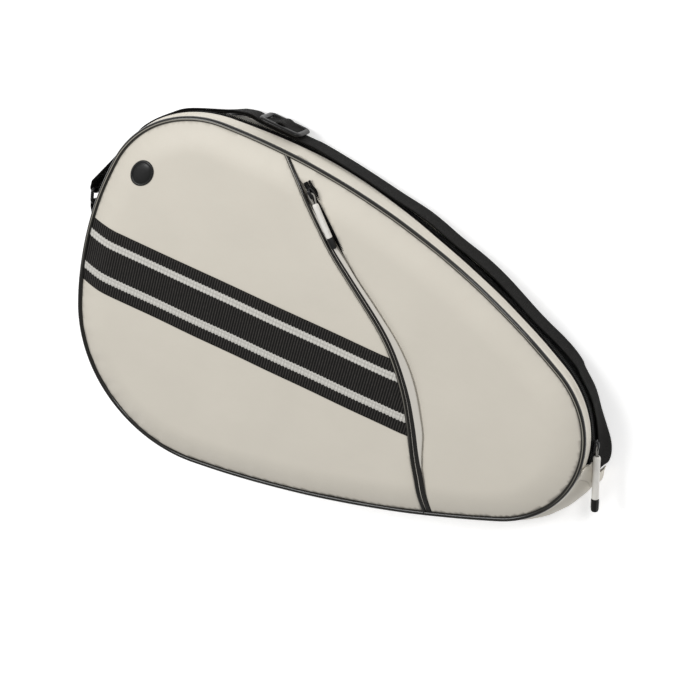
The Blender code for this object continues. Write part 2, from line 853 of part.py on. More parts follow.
def build_main_slider():
    centre = TIP_ARC[0]
    height = zip_height(SLIDER_ANGLE)
    axis = new_empty("main_slider_axis", (centre.x, centre.y, height), CASE)
    frame = Matrix.Translation((-centre.x, -centre.y, -height)) @ rim_frame(SLIDER_ANGLE, height)
    joined_boxes(
        "main_slider", slider_boxes(SLIDER_LENGTH, SLIDER_WIDTH, 0.0026),
        "slider_metal", axis, frame,
    )
    hole = PLATE_GAP + PLATE_THICKNESS + (BAIL_HEIGHT - 0.0012) / 2
    pivot = new_empty("main_puller_axis", (0, 0, 0), axis)
    splay = Matrix.Rotation(MAIN_PULLER_SPLAY, 4, "Z")
    pivot.matrix_local = frame @ Matrix.Translation((0, hole, 0)) @ splay
    build_puller("main", pivot, MAIN_TUBE_RADIUS, MAIN_TUBE_LENGTH, MAIN_TIP_LENGTH)


def pocket_frame(s, height):
    """X down the seam, Y up out of the panel, Z across it."""
    ahead = direction(SEAM_HEADING)
    place = seam_point(s, POCKET_ZIP_U)
    along = Vector((ahead.x, ahead.y, 0))
    up = Vector((0, 0, 1))
    turn = Matrix((along, up, along.cross(up))).transposed().to_4x4()
    return Matrix.Translation((place.x, place.y, height)) @ turn


def build_pocket_slider():
    axis = new_empty("pocket_slider_axis", (0, 0, 0), FRONT)
    axis.matrix_local = pocket_frame(POCKET_SLIDER_AT, POCKET_COIL_Z)
    joined_boxes(
        "pocket_slider", slider_boxes(POCKET_SLIDER_LENGTH, POCKET_SLIDER_WIDTH, 0.0024),
        "slider_metal", axis, Matrix(),
    )
    hole = PLATE_GAP + PLATE_THICKNESS + (BAIL_HEIGHT - 0.0012) / 2
    pivot = new_empty("pocket_puller_axis", (0, hole, 0), axis)
    splay = new_empty("pocket_puller_splay", (0, 0, 0), pivot)
    splay.matrix_local = Matrix.Rotation(-POCKET_PULLER_SPLAY, 4, "Y")
    build_puller("pocket", splay, POCKET_TUBE_RADIUS, POCKET_TUBE_LENGTH, POCKET_TIP_LENGTH)


# ---------------------------------------------------------------- strap
def eased(share):
    held = min(1.0, max(0.0, share))
    return held * held * (3 - 2 * held)


def strap_base(x):
    """Height of the strap's lower edge: low under the main slider, highest along the flank."""
    off_tip = eased((0.194 - x) / 0.040)
    to_head = eased((-0.010 - x) / 0.050)
    flank = STRAP_TIP_Z + (STRAP_FLANK_Z - STRAP_TIP_Z) * off_tip
    return flank + (STRAP_HEAD_Z - STRAP_FLANK_Z) * to_head


def strap_route():
    """Plan view of the strap from the tip seam to the ring, then back outside."""
    flank = [
        (3.5, 0.0035), (12, 0.0042), (24, 0.0048), (38, 0.0046), (52, 0.0046), (61, 0.0054),
        (67, 0.0054), (71, 0.0066), (74, 0.0054), (77, 0.0066), (80, 0.0054), (84, 0.0056),
    ]
    guides = [rim_point(math.radians(angle), offset) for angle, offset in flank]
    guides += [Vector((x, BUCKLE_Y)) for x in (-0.066, -0.080, -0.120, -0.142, -0.152)]
    guides += [rim_point(math.radians(angle), 0.0055) for angle in (118, 132, 146, 158)]
    bar = Vector(RING_OUTER)
    near = bar + Vector((STRAP_LOOP_RADIUS, 0.006))
    guides.append(near)
    inner = spline_points(guides, 3)
    bend = []
    for i in range(0, 9):
        angle = math.radians(0 - 180 * i / 8)
        bend.append(bar + Vector((math.cos(angle), math.sin(angle))) * STRAP_LOOP_RADIUS)
    outside = [bar + Vector((-STRAP_LOOP_RADIUS, 0.006))]
    for angle in (158, 146, 132, 118):
        outside.append(rim_point(math.radians(angle), 0.0055 + STRAP_LAYER_GAP))
    for x in (-0.153, -0.142, -0.120, -0.086):
        outside.append(Vector((x, BUCKLE_Y + STRAP_LAYER_GAP * (0.85 if x < -0.15 else 0.8))))
    back = spline_points(outside, 3)
    return inner, bend, back


def build_strap():
    inner, bend, back = strap_route()
    route = inner + bend + back
    rows = []
    for share in (0.0, 1.0):
        rows.append([(p.x, p.y, strap_base(p.x) + STRAP_WIDTH * share) for p in route])
    wall("shoulder_strap", rows, STRAP_THICKNESS, "black_webbing", CASE)


def build_ring():
    middle = strap_base(RING_INNER[0]) + STRAP_WIDTH / 2
    hinge = new_empty("strap_ring_axis", (*RING_INNER, middle), CASE)
    reach = Vector(RING_OUTER) - Vector(RING_INNER)
    corner = 0.0022
    unit = reach.normalized()
    top = RING_HALF_HEIGHT
    loop = []
    for along, up in (
        (0.0, -top + corner), (0.0, top - corner), (corner * 0.3, top - corner * 0.3),
        (corner, top), (reach.length - corner, top), (reach.length - corner * 0.3, top - corner * 0.3),
        (reach.length, top - corner), (reach.length, -top + corner),
        (reach.length - corner * 0.3, -top + corner * 0.3), (reach.length - corner, -top),
        (corner, -top), (corner * 0.3, -top + corner * 0.3),
    ):
        place = unit * along
        loop.append((place.x, place.y, up))
    tube("strap_ring", loop, RING_WIRE, "slider_metal", hinge, closed=True, resolution=2)


def build_anchor():
    """Webbing tab: out of the end gusset, round the ring's inner bar and back."""
    bar = Vector(RING_INNER)
    loop_radius = 0.0026
    foot = rim_point(math.radians(182.5), WALL_OFFSET + ZIP_SIDE_BULGE + 0.0019)
    bend = []
    for i in range(9):
        angle = math.radians(-20 + 200 * i / 8)
        bend.append(bar + Vector((math.cos(angle), math.sin(angle))) * loop_radius)
    route = [foot, bar + Vector((loop_radius, -0.006))] + bend
    route += [bar + Vector((-loop_radius, -0.006)), foot + Vector((-0.0022, -0.0005))]
    half = STRAP_WIDTH / 2 - 0.0012
    middle = strap_base(bar.x) + STRAP_WIDTH / 2
    rows = [[(p.x, p.y, middle + half * side) for p in route] for side in (-1, 1)]
    wall("strap_anchor", rows, STRAP_THICKNESS, "black_webbing", CASE)


def build_buckle():
    """Three-bar slider buckle that lies on the outside of the doubled strap."""
    middle = strap_base(BUCKLE_X) + STRAP_WIDTH / 2
    out = STRAP_LAYER_GAP * 0.8 + STRAP_THICKNESS / 2 + 0.0006
    axis = new_empty("buckle_axis", (BUCKLE_X, BUCKLE_Y + out, middle), CASE)
    half = BUCKLE_LENGTH / 2
    inside = STRAP_WIDTH / 2 + 0.0002
    rail = 0.0019
    lip = 0.0001
    deep = BUCKLE_THICKNESS
    boxes = []
    for sign in (-1, 1):
        low = min(sign * inside, sign * (inside + rail))
        boxes.append(((-half, 0, low), (half, deep, low + rail)))
    for centre in (-half + BUCKLE_BAR / 2, 0.0, half - BUCKLE_BAR / 2):
        boxes.append(
            (
                (centre - BUCKLE_BAR / 2 + lip, lip, -inside - lip),
                (centre + BUCKLE_BAR / 2 - lip, deep - lip, inside + lip),
            )
        )
    joined_boxes("strap_buckle", boxes, "buckle_plastic", axis, Matrix())


# ---------------------------------------------------------------- build
build_back_panel()
build_piping()
build_gussets()
build_main_zip()
build_front_panels()
build_pocket_trim()
build_pocket_zip()
build_band()
build_badge()
build_main_slider()
build_pocket_slider()
build_strap()
build_ring()
build_anchor()
build_buckle()
bpy.context.view_layer.update()
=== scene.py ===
"""Looks of the paddle case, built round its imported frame.

The case lies on its back panel. Plan points are measured from the middle of the
piping loop: x towards the narrow tip, y towards the main zip. ORIGIN moves them
into the frame, and heights are the frame's own. Everything is in metres.
"""

import math

import bmesh
import bpy
import numpy as np
from mathutils import Matrix, Vector
from mathutils.geometry import delaunay_2d_cdt


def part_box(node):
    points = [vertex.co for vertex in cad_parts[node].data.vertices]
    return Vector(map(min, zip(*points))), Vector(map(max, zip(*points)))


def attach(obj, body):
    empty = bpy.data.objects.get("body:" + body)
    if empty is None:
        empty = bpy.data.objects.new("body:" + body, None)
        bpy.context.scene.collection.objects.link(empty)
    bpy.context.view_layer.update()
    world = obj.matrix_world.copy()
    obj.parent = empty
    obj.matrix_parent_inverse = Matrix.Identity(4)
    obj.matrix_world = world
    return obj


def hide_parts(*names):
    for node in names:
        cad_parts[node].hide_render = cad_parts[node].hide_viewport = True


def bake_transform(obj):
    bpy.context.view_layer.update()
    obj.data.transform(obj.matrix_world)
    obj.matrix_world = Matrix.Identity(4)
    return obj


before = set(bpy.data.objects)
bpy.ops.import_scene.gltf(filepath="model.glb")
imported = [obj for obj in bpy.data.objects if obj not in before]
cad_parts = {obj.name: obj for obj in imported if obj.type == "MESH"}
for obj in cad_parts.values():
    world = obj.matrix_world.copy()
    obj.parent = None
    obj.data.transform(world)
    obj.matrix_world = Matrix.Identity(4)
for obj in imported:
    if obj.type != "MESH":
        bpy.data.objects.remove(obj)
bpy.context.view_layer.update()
TAU = 2 * math.pi
UP = np.array((0.0, 0.0, 1.0))

# ---------------------------------------------------------------- sizes
PIPING_RADIUS = 0.0022
END_RADIUS = 0.330
TIP_RADIUS = 0.087
END_HALF_ANGLE = math.radians(13.0)
ZIP_SIDE = {"shoulder": 0.098, "flank": 0.600}
HINGE_SIDE = {"shoulder": 0.128, "flank": 0.970}

WALL_OFFSET = 0.0012
ZIP_SIDE_BULGE = 0.0012
HINGE_SIDE_BULGE = 0.0062
WALL_LOW_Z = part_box("gusset_back_strip")[0].z
WALL_HIGH_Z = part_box("gusset_front_strip")[1].z
FRONT_RIM_Z = (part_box("front_piping")[0].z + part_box("front_piping")[1].z) / 2
BACK_RIM_Z = (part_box("back_piping")[0].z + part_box("back_piping")[1].z) / 2
FRONT_TOP_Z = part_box("side_panel")[1].z
GUSSET_TUCK = 0.0014
GUSSET_LOW_Z = BACK_RIM_Z + GUSSET_TUCK
GUSSET_HIGH_Z = FRONT_RIM_Z - GUSSET_TUCK
PANEL_EDGE = 0.0014
PILLOW_WIDTH = 0.0296
COVER_THICKNESS = 0.0011
COVER_SPACING = 0.003
FOAM_THICKNESS = 0.0022
LINING_THICKNESS = 0.0005
LAYER_SPACING = 0.005

ZIP_START = math.radians(0.5)
ZIP_END = math.radians(222.0)
HINGE_MIDDLE = math.radians(288.0)
STRIP_WIDTH = 0.0096
STRIP_SWELL = 0.0100
STRIP_SWELL_X = -0.045
STRIP_SWELL_SPREAD = 0.075
ZIP_DROP = 0.0057
TAPE_EDGE = 0.0054
TAPE_NEAR = 0.0007
TAPE_FAR = 0.0075
TAPE_INSET = 0.0011
TOOTH_PITCH = 0.0016
STITCH_PITCH = 0.0032
STITCH_LENGTH = 0.0024
STITCH_WIDTH = 0.00042

SLIDER_ANGLE = math.radians(12.5)
MAIN_PULLER_SPLAY = math.radians(5.5)
POCKET_PULLER_SPLAY = math.radians(6.5)
PLATE_GAP = 0.0019
PLATE_THICKNESS = 0.0011
PLATE_OUTER = PLATE_GAP + PLATE_THICKNESS
PLATE_NOSE = 0.62
BAIL_HEIGHT = 0.0030
BAIL_SPAN = 0.0038
CORD_RADIUS = 0.00065

SEAM_START = np.array((-0.0852, 0.1475))
SEAM_HEADING = math.radians(-40.8)
SEAM_STRAIGHT = 0.1705
SEAM_ARC_RADIUS = 0.1685
SEAM_TURN = math.radians(23.2)
SEAM_LOWER = 0.096
SEAM_LENGTH = SEAM_STRAIGHT + SEAM_ARC_RADIUS * SEAM_TURN + SEAM_LOWER
POCKET_PIPING_RADIUS = 0.0018
POCKET_PIPING_U = 0.0022
POCKET_ZIP_U = 0.0120
POCKET_SLIDER_AT = 0.036
POCKET_ZIP_FROM = 0.026
POCKET_ZIP_TO = 0.300
POCKET_TOOTH_PITCH = 0.0014
POCKET_COIL_Z = FRONT_TOP_Z - 0.0006

BAND_WIDTH = 0.0627
BAND_POINT = np.array((-0.1766, -0.0162))
BAND_HEADING = math.radians(1.84)
STRIPES = ((0.186, 0.304), (0.720, 0.834))
BADGE_AT = np.array((-0.2018, 0.0785))
BADGE_HALF_LENGTH = 0.0135
BADGE_HALF_WIDTH = 0.0100
BADGE_HEADING = math.radians(62.0)

STRAP_WIDTH = 0.022
STRAP_THICKNESS = 0.0013
STRAP_TIP_Z = 0.0008
STRAP_FLANK_Z = 0.0056
STRAP_HEAD_Z = 0.0039
STRAP_LAYER_GAP = 0.0022
STRAP_LEAN = math.radians(2.0)
RING_INNER = np.array((-0.2532, 0.0145))
RING_OUTER = np.array((-0.2556, 0.0278))
RING_WIRE = 0.0015
RING_HALF_HEIGHT = 0.0130
RING_CORNER = 0.0030
STRAP_LOOP_RADIUS = 0.0039
BUCKLE_Y = 0.1575
BUCKLE_LENGTH = 0.038
BUCKLE_CORNER = 0.0040
BUCKLE_DEPTH = 0.0030


# ---------------------------------------------------------------- plan outline
def unit(angle):
    return np.stack([np.cos(angle), np.sin(angle)], axis=-1)


def left_of(heading):
    """A plan direction turned a quarter turn to the left."""
    return np.array((-heading[1], heading[0]))


def normalised(vectors):
    return vectors / np.linalg.norm(vectors, axis=-1, keepdims=True)


def run_along(points):
    """Distance along a line of points, from its first."""
    return np.concatenate([[0.0], np.cumsum(np.linalg.norm(np.diff(points, axis=0), axis=1))])


def circles_meet(first, first_radius, second, second_radius):
    """The point below both centres that is at the two given distances."""
    span = second - first
    gap = np.hypot(*span)
    along = (first_radius**2 - second_radius**2 + gap**2) / (2 * gap)
    across = math.sqrt(first_radius**2 - along**2)
    ahead = span / gap
    return first + ahead * along + np.array((ahead[1], -ahead[0])) * across


def side_arcs(length, shoulder, flank):
    """(centre, radius, first angle, last angle) of one side, from the tip."""
    end_centre = np.array((END_RADIUS - length / 2, 0.0))
    tip_centre = np.array((length / 2 - TIP_RADIUS, 0.0))
    end_join = math.pi - END_HALF_ANGLE
    shoulder_centre = end_centre + unit(end_join) * (END_RADIUS - shoulder)
    flank_centre = circles_meet(
        shoulder_centre, flank - shoulder, tip_centre, flank - TIP_RADIUS
    )
    shoulder_join = math.atan2(*(shoulder_centre - flank_centre)[::-1])
    tip_join = math.atan2(*(tip_centre - flank_centre)[::-1])
    return [
        (tip_centre, TIP_RADIUS, 0.0, tip_join),
        (flank_centre, flank, tip_join, shoulder_join),
        (shoulder_centre, shoulder, shoulder_join, end_join),
        (end_centre, END_RADIUS, end_join, math.pi),
    ]


def whole_outline(length):
    """All arcs round the case, with angles growing from 0 at the tip."""
    mirrored = []
    for centre, radius, first, last in side_arcs(length, **HINGE_SIDE):
        flipped = centre * (1, -1)
        mirrored.append((flipped, radius, TAU - last, TAU - first))
    return side_arcs(length, **ZIP_SIDE) + mirrored[::-1]


PIPING_LOW, PIPING_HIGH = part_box("front_piping")
LENGTH = PIPING_HIGH.x - PIPING_LOW.x - 2 * PIPING_RADIUS
ARCS = whole_outline(LENGTH)
ARC_CENTRES = np.array([arc[0] for arc in ARCS])
ARC_RADII = np.array([arc[1] for arc in ARCS])
ARC_ENDS = np.array([arc[3] for arc in ARCS])


def rim(angle, out=0.0):
    """Plan points out metres outside the piping loop, where its normal has these angles."""
    turned = np.mod(angle, TAU)
    which = np.minimum(np.searchsorted(ARC_ENDS, turned), len(ARCS) - 1)
    reach = ARC_RADII[which] + out
    return ARC_CENTRES[which] + unit(turned) * np.expand_dims(reach, -1)


FINE_ANGLES = np.linspace(0, TAU, 7201)
FINE_RIM = rim(FINE_ANGLES)
FINE_LENGTH = np.concatenate([[0.0], np.cumsum(np.hypot(*np.diff(FINE_RIM, axis=0).T))])
RIM_LENGTH = FINE_LENGTH[-1]
ORIGIN = Vector((
    (PIPING_LOW.x + PIPING_HIGH.x) / 2,
    PIPING_HIGH.y - PIPING_RADIUS - FINE_RIM[:, 1].max(),
    0.0,
))


def along_rim(angle):
    """Distance round the piping loop, from the tip, past whole turns too."""
    turns = np.floor(np.asarray(angle) / TAU)
    return turns * RIM_LENGTH + np.interp(np.mod(angle, TAU), FINE_ANGLES, FINE_LENGTH)


def angle_along(distance):
    turns = np.floor(np.asarray(distance) / RIM_LENGTH)
    inside = np.mod(distance, RIM_LENGTH)
    return turns * TAU + np.interp(inside, FINE_LENGTH, FINE_ANGLES)


def rim_run(first, last, spacing):
    """Angles from first to last, evenly spaced along the piping loop."""
    start, finish = along_rim(first), along_rim(last)
    count = max(2, round(float(finish - start) / spacing))
    return angle_along(np.linspace(start, finish, count + 1))


def nearest_rim(points):
    """(how far inside the loop, rim angle) of plan points."""
    depth = np.full(len(points), 1.0)
    facing = np.zeros(len(points))
    for centre, radius, first, last in ARCS:
        away = points - centre
        angle = np.mod(np.arctan2(away[:, 1], away[:, 0]), TAU)
        inside = radius - np.hypot(away[:, 0], away[:, 1])
        better = (angle >= first - 1e-6) & (angle <= last + 1e-6) & (inside < depth)
        depth = np.where(better, inside, depth)
        facing = np.where(better, angle, facing)
    return depth, facing


def eased(share):
    held = np.clip(share, 0, 1)
    return held * held * (3 - 2 * held)


def soft_table(pairs, blur):
    """A smooth function through a few (place, value) pairs."""
    places, values = np.array(pairs, float).T
    grid = np.linspace(places[0], places[-1], 600)
    step = grid[1] - grid[0]
    reach = max(1, int(3 * blur / step))
    kernel = np.exp(-0.5 * (np.arange(-reach, reach + 1) * step / blur) ** 2)
    padded = np.pad(np.interp(grid, places, values), reach, mode="edge")
    smooth = np.convolve(padded, kernel / kernel.sum(), mode="valid")
    return lambda place: np.interp(place, grid, smooth)


# ---------------------------------------------------------------- pocket seam
# The seam wanders a little from its straight run and arc.
seam_drift = soft_table(
    [(0.0, 0.0007), (0.021, 0.0018), (0.087, -0.0031), (0.163, 0.0020), (0.209, -0.0004),
     (0.258, 0.0001), (0.286, -0.0010), (0.307, 0.0006)], blur=0.010)
AHEAD = unit(SEAM_HEADING)
ACROSS = left_of(AHEAD)
BEND_START = SEAM_START + AHEAD * SEAM_STRAIGHT
BEND_CENTRE = BEND_START - ACROSS * SEAM_ARC_RADIUS
ACROSS_ANGLE = math.atan2(ACROSS[1], ACROSS[0])


def seam(s, u):
    """Plan points s along the pocket seam and u to its tip-ward side."""
    s = np.asarray(s, float)
    turn = np.clip((s - SEAM_STRAIGHT) / SEAM_ARC_RADIUS, 0, SEAM_TURN)
    facing = unit(ACROSS_ANGLE - turn)
    straight = SEAM_START + AHEAD * np.expand_dims(s, -1) + ACROSS * np.expand_dims(u, -1)
    bent = BEND_CENTRE + facing * np.expand_dims(SEAM_ARC_RADIUS + u, -1)
    rest = np.maximum(0.0, s - SEAM_STRAIGHT - SEAM_ARC_RADIUS * SEAM_TURN)
    bent = bent + np.stack([facing[..., 1], -facing[..., 0]], -1) * np.expand_dims(rest, -1)
    return np.where(np.expand_dims(s <= SEAM_STRAIGHT, -1), straight, bent)


def seam_place(points):
    """(s, u) of plan points: the way back from seam()."""
    from_start = points - SEAM_START
    s = from_start @ AHEAD
    u = from_start @ ACROSS
    away = points - BEND_CENTRE
    turn = ACROSS_ANGLE - np.arctan2(away[:, 1], away[:, 0])
    bent = (s > SEAM_STRAIGHT) & (turn <= SEAM_TURN)
    last = unit(ACROSS_ANGLE - SEAM_TURN)
    beyond = (s > SEAM_STRAIGHT) & (turn > SEAM_TURN)
    onward = np.array((last[1], -last[0]))
    arc_s = SEAM_STRAIGHT + SEAM_ARC_RADIUS * turn
    end_s = SEAM_STRAIGHT + SEAM_ARC_RADIUS * SEAM_TURN + away @ onward
    s = np.where(bent, arc_s, np.where(beyond, end_s, s))
    u = np.where(bent, np.hypot(away[:, 0], away[:, 1]) - SEAM_ARC_RADIUS, u)
    u = np.where(beyond, away @ last - SEAM_ARC_RADIUS, u)
    return s, u


# Free edge of the flap that covers the pocket zip, and the side panel's edge under it.
flap_edge = soft_table(
    [(0.040, 0.0034), (0.060, 0.0052), (0.080, 0.0062), (0.102, 0.0078), (0.121, 0.0084),
     (0.139, 0.0104), (0.171, 0.0128), (0.205, 0.0141), (0.240, 0.0139), (0.260, 0.0146),
     (0.280, 0.0103), (0.300, 0.0079), (0.345, 0.0036)], blur=0.006)
panel_edge_u = soft_table(
    [(-0.02, 0.0026), (0.018, 0.0030), (0.028, 0.0070), (0.036, 0.0116), (0.047, 0.0130),
     (0.061, 0.0130), (0.079, 0.0120), (0.092, 0.0090), (0.121, 0.0060), (0.171, 0.0090),
     (0.260, 0.0098), (0.300, 0.0050), (0.345, 0.0028), (0.38, 0.0028)], blur=0.004)
FLAP_FROM = 0.044
FLAP_END_GAP = 0.0016


# ---------------------------------------------------------------- surfaces
def ripple(points, wavelength, height, seed):
    """Gentle unevenness from a few crossed waves with seeded directions."""
    rng = np.random.default_rng(seed)
    total = 0
    waves = 6
    for _ in range(waves):
        heading = unit(rng.uniform(0, TAU))
        length = wavelength * rng.uniform(0.7, 1.6)
        total = total + np.sin(points @ heading * TAU / length + rng.uniform(0, TAU))
    return height * total / waves


def pillow(points):
    """Share of the crown reached this far in from the piping."""
    depth, _ = nearest_rim(points)
    return np.sin(np.clip((depth - PANEL_EDGE) / PILLOW_WIDTH, 0, 1) * math.pi / 2)


def face_height(points):
    """Height of the padded front face."""
    return FRONT_RIM_Z + (FRONT_TOP_Z - FRONT_RIM_Z) * pillow(points)


def puckers(points):
    """Small gathers in the cover beside the piping, strongest at the lower wide end."""
    depth, facing = nearest_rim(points)
    place = along_rim(facing)
    low_end = math.radians(235)
    strength = 0.25 + np.exp(-(((facing - low_end) / 0.75) ** 2))
    waves = np.sin(place * TAU / 0.023) + 0.6 * np.sin(place * TAU / 0.0137 + 1.0)
    fade = np.exp(-(((depth - 0.008) / 0.009) ** 2))
    return 0.00022 * waves * fade * strength


def cover_height(points):
    return face_height(points) + puckers(points) + ripple(points, wavelength=0.085, height=0.00045, seed=3)


# The soft case has slumped: its lower part sits this many millimetres further in than
# the front rim, by rim angle in degrees. The hinge side is fullest at mid-height.
slump = soft_table(
    [(-20, -10), (-8, -12), (0, -12.5), (8, -8.5), (16, -1.5), (24, 4), (32, 4.5), (40, 4),
     (50, 5), (60, 4), (72, 2.3), (80, 4), (92, 4), (104, 9.5), (120, 12.5), (132, 14),
     (144, 9), (156, 8), (172, 8.5), (182, 7), (200, 4), (220, 0), (240, -3), (260, -2), (280, -3),
     (300, -7.5), (320, -7.5), (340, -10), (352, -12), (360, -12.5), (380, -3)], blur=4.5)
SLUMP_FROM = 0.011


def slumped(points, heights):
    """Plan points moved with the soft lower part of the case."""
    flat = points.reshape(-1, 2)
    depth, facing = nearest_rim(flat)
    start = FRONT_RIM_Z - SLUMP_FROM
    low = np.clip((start - np.ravel(heights)) / (start - BACK_RIM_Z), 0, 1)
    degrees = np.degrees(facing)
    hinge_from, hinge_to = 222, 359
    hinge = eased((degrees - hinge_from) / 20) * eased((hinge_to - degrees) / 7)
    share = low**1.2 * (1 - hinge) + np.sin(0.78 * math.pi * low) * hinge
    fade_depth = 0.05
    share = share * np.exp(-np.maximum(depth, 0) / fade_depth)
    moved = flat - unit(facing) * (0.001 * slump(degrees) * share)[:, None]
    return moved.reshape(points.shape)


def placed(points, heights):
    """Frame coordinates of plan points at these heights."""
    points = np.asarray(points, float)
    heights = np.broadcast_to(heights, points.shape[:-1])
    moved = slumped(points, heights) + np.array(ORIGIN[:2])
    return np.concatenate([moved, heights[..., None]], axis=-1)


# ---------------------------------------------------------------- mesh makers
def new_mesh(name, points, faces, look, uvs=None):
    """A smooth-shaded object; look names its material in LOOKS."""
    data = bpy.data.meshes.new(name)
    data.from_pydata(np.asarray(points, float).tolist(), [], [list(map(int, f)) for f in faces])
    if uvs is not None:
        layer = data.uv_layers.new(name="fabric")
        corner = np.empty(len(data.loops), np.int32)
        data.loops.foreach_get("vertex_index", corner)
        layer.data.foreach_set("uv", np.asarray(uvs, float)[corner].ravel())
    data.shade_smooth()
    data.materials.append(LOOKS[look])
    made = bpy.data.objects.new(name, data)
    bpy.context.scene.collection.objects.link(made)
    return made


def grid_faces(rows, columns, closed_rows=False, closed_columns=False):
    r, c = np.meshgrid(
        np.arange(rows if closed_rows else rows - 1),
        np.arange(columns if closed_columns else columns - 1), indexing="ij")
    r_next = (r + 1) % rows
    c_next = (c + 1) % columns
    corners = [r * columns + c, r_next * columns + c, r_next * columns + c_next, r * columns + c_next]
    return np.stack(corners, -1).reshape(-1, 4)


def finish_piece(obj, body, replaced=(), place=None):
    """Gives a piece its body, the CAD nodes it replaces and its own place."""
    if place:
        obj.matrix_world = place
    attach(obj, body)
    if replaced:
        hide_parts(*replaced)


def thicken(obj, thickness, offset=-1.0):
    """Thickness below a sheet's surface, or half each way where offset is 0."""
    solid = obj.modifiers.new("Thickness", "SOLIDIFY")
    solid.thickness = thickness
    solid.offset = offset
    solid.use_even_offset = False


def directions(path, closed=False):
    if closed:
        steps = np.roll(path, -1, axis=0) - np.roll(path, 1, axis=0)
    else:
        steps = np.gradient(path, axis=0)
    return normalised(steps)


def swept(name, path, across, profile, look, closed=False):
    """A solid with one closed profile of (across, up) pairs carried along a path.

    Its UVs are metres along the path and across it.
    """
    path = np.asarray(path, float)
    up = normalised(np.cross(across, directions(path, closed)))
    profile = np.asarray(profile, float)
    if profile.ndim == 2:
        profile = np.broadcast_to(profile, (len(path), *profile.shape))
    points = path[:, None] + across[:, None] * profile[..., :1] + up[:, None] * profile[..., 1:]
    rows, columns = points.shape[:2]
    faces = grid_faces(rows, columns, closed, True).tolist()
    if not closed:
        faces.append(list(range(columns)))
        faces.append([(rows - 1) * columns + i for i in range(columns)][::-1])
    uvs = np.stack(np.broadcast_arrays(run_along(path)[:, None], profile[..., 0]), -1).reshape(-1, 2)
    made = new_mesh(name, points.reshape(-1, 3), faces, look, uvs)
    made.data.set_sharp_from_angle(angle=math.radians(50))
    return made


def circle(sides, first=0.0):
    """Unit vectors evenly round a circle, from this angle."""
    return unit(np.arange(sides) * TAU / sides + first)


def tube(name, path, radius, look, closed=False, sides=14, reference=UP):
    """A tube whose radius is one number, one for each point, or (across, up) for each point."""
    path = np.asarray(path, float)
    across = normalised(np.cross(directions(path, closed), reference))
    radii = np.asarray(radius, float)
    if radii.ndim < 2:
        radii = np.broadcast_to(radii, (2, len(path))).T
    return swept(name, path, across, circle(sides) * radii[:, None], look, closed)


def rounded_rectangle(half_length, half_height, corner, steps):
    """Points round a rectangle with quarter-circle corners, each in this many steps."""
    found = []
    for quarter, (x, y) in enumerate(((1, 1), (-1, 1), (-1, -1), (1, -1))):
        centre = (x * (half_length - corner), y * (half_height - corner))
        turns = math.pi / 2 * (quarter + np.arange(steps + 1) / steps)
        found.append(centre + unit(turns) * corner)
    return np.concatenate(found)


def ribbon_profile(width, thickness):
    """A flat webbing's closed section, with round edges."""
    columns = 9
    edge = thickness / 2
    span = np.linspace(-width / 2 + edge, width / 2 - edge, columns)
    top = np.stack([span, np.full(columns, edge)], -1)
    turn = np.array([[edge * math.sin(a), edge * math.cos(a)] for a in (0.8, 1.57, 2.35)])
    right = turn + (width / 2 - edge, 0)
    left = -turn - (width / 2 - edge, 0)
    return np.concatenate([top, right, top[::-1] * (1, -1), left])[::-1]


def spline(guides, per_span):
    """Points on a Catmull-Rom curve through guides of any dimension."""
    guides = np.asarray(guides, float)
    ends = np.concatenate([guides[:1], guides, guides[-1:]])
    t = (np.arange(per_span) / per_span)[:, None]
    found = []
    for before, start, end, after in zip(ends, ends[1:], ends[2:], ends[3:]):
        found.append(0.5 * (
            2 * start + (end - before) * t
            + (2 * before - 5 * start + 4 * end - after) * t**2
            + (3 * start - before - 3 * end + after) * t**3
        ))
    return np.concatenate(found + [guides[-1:]])


def filled(name, outline, keep, height, look, spacing):
    """A sheet inside a plan outline, with inner points wherever keep() allows."""
    low, high = outline.min(0), outline.max(0)
    rows = np.arange(low[1], high[1], spacing * 0.866)
    columns = np.arange(low[0], high[0], spacing)
    x, y = np.meshgrid(columns, rows)
    x = x + (np.arange(len(rows)) % 2)[:, None] * spacing / 2
    inner = np.stack([x.ravel(), y.ravel()], -1)
    inner = inner[keep(inner, margin=0.6 * spacing)]
    points = np.concatenate([outline, inner])
    found = delaunay_2d_cdt(
        [Vector(p) for p in points], [], [list(range(len(outline)))], 1, 1e-7)
    plan = np.array([tuple(v) for v in found[0]])
    faces = np.array(found[2])
    a, b, c = plan[faces[:, 0]], plan[faces[:, 1]], plan[faces[:, 2]]
    turned = np.cross(b - a, c - a) < 0
    faces[turned] = faces[turned][:, ::-1]
    return new_mesh(name, placed(plan, height(plan)), faces, look, plan)


def joined(name, meshes, look):
    """One object out of (points, faces) lists."""
    points, faces, count = [], [], 0
    for some_points, some_faces in meshes:
        points.append(np.asarray(some_points, float))
        faces += [[int(i) + count for i in face] for face in some_faces]
        count += len(some_points)
    return new_mesh(name, np.concatenate(points), faces, look)


def repeated(name, shape, places, look):
    """Copies of a small (points, faces) shape at many (origin, 3 axis rows)."""
    points, faces = shape
    points = np.asarray(points, float)
    faces = np.asarray(faces)
    origins = np.array([p[0] for p in places])
    axes = np.array([p[1] for p in places])
    everything = origins[:, None] + np.einsum("ij,kjl->kil", points, axes)
    shifts = np.arange(len(places))[:, None, None] * len(points)
    every_face = (faces[None] + shifts).reshape(-1, faces.shape[1])
    return new_mesh(name, everything.reshape(-1, 3), every_face, look)


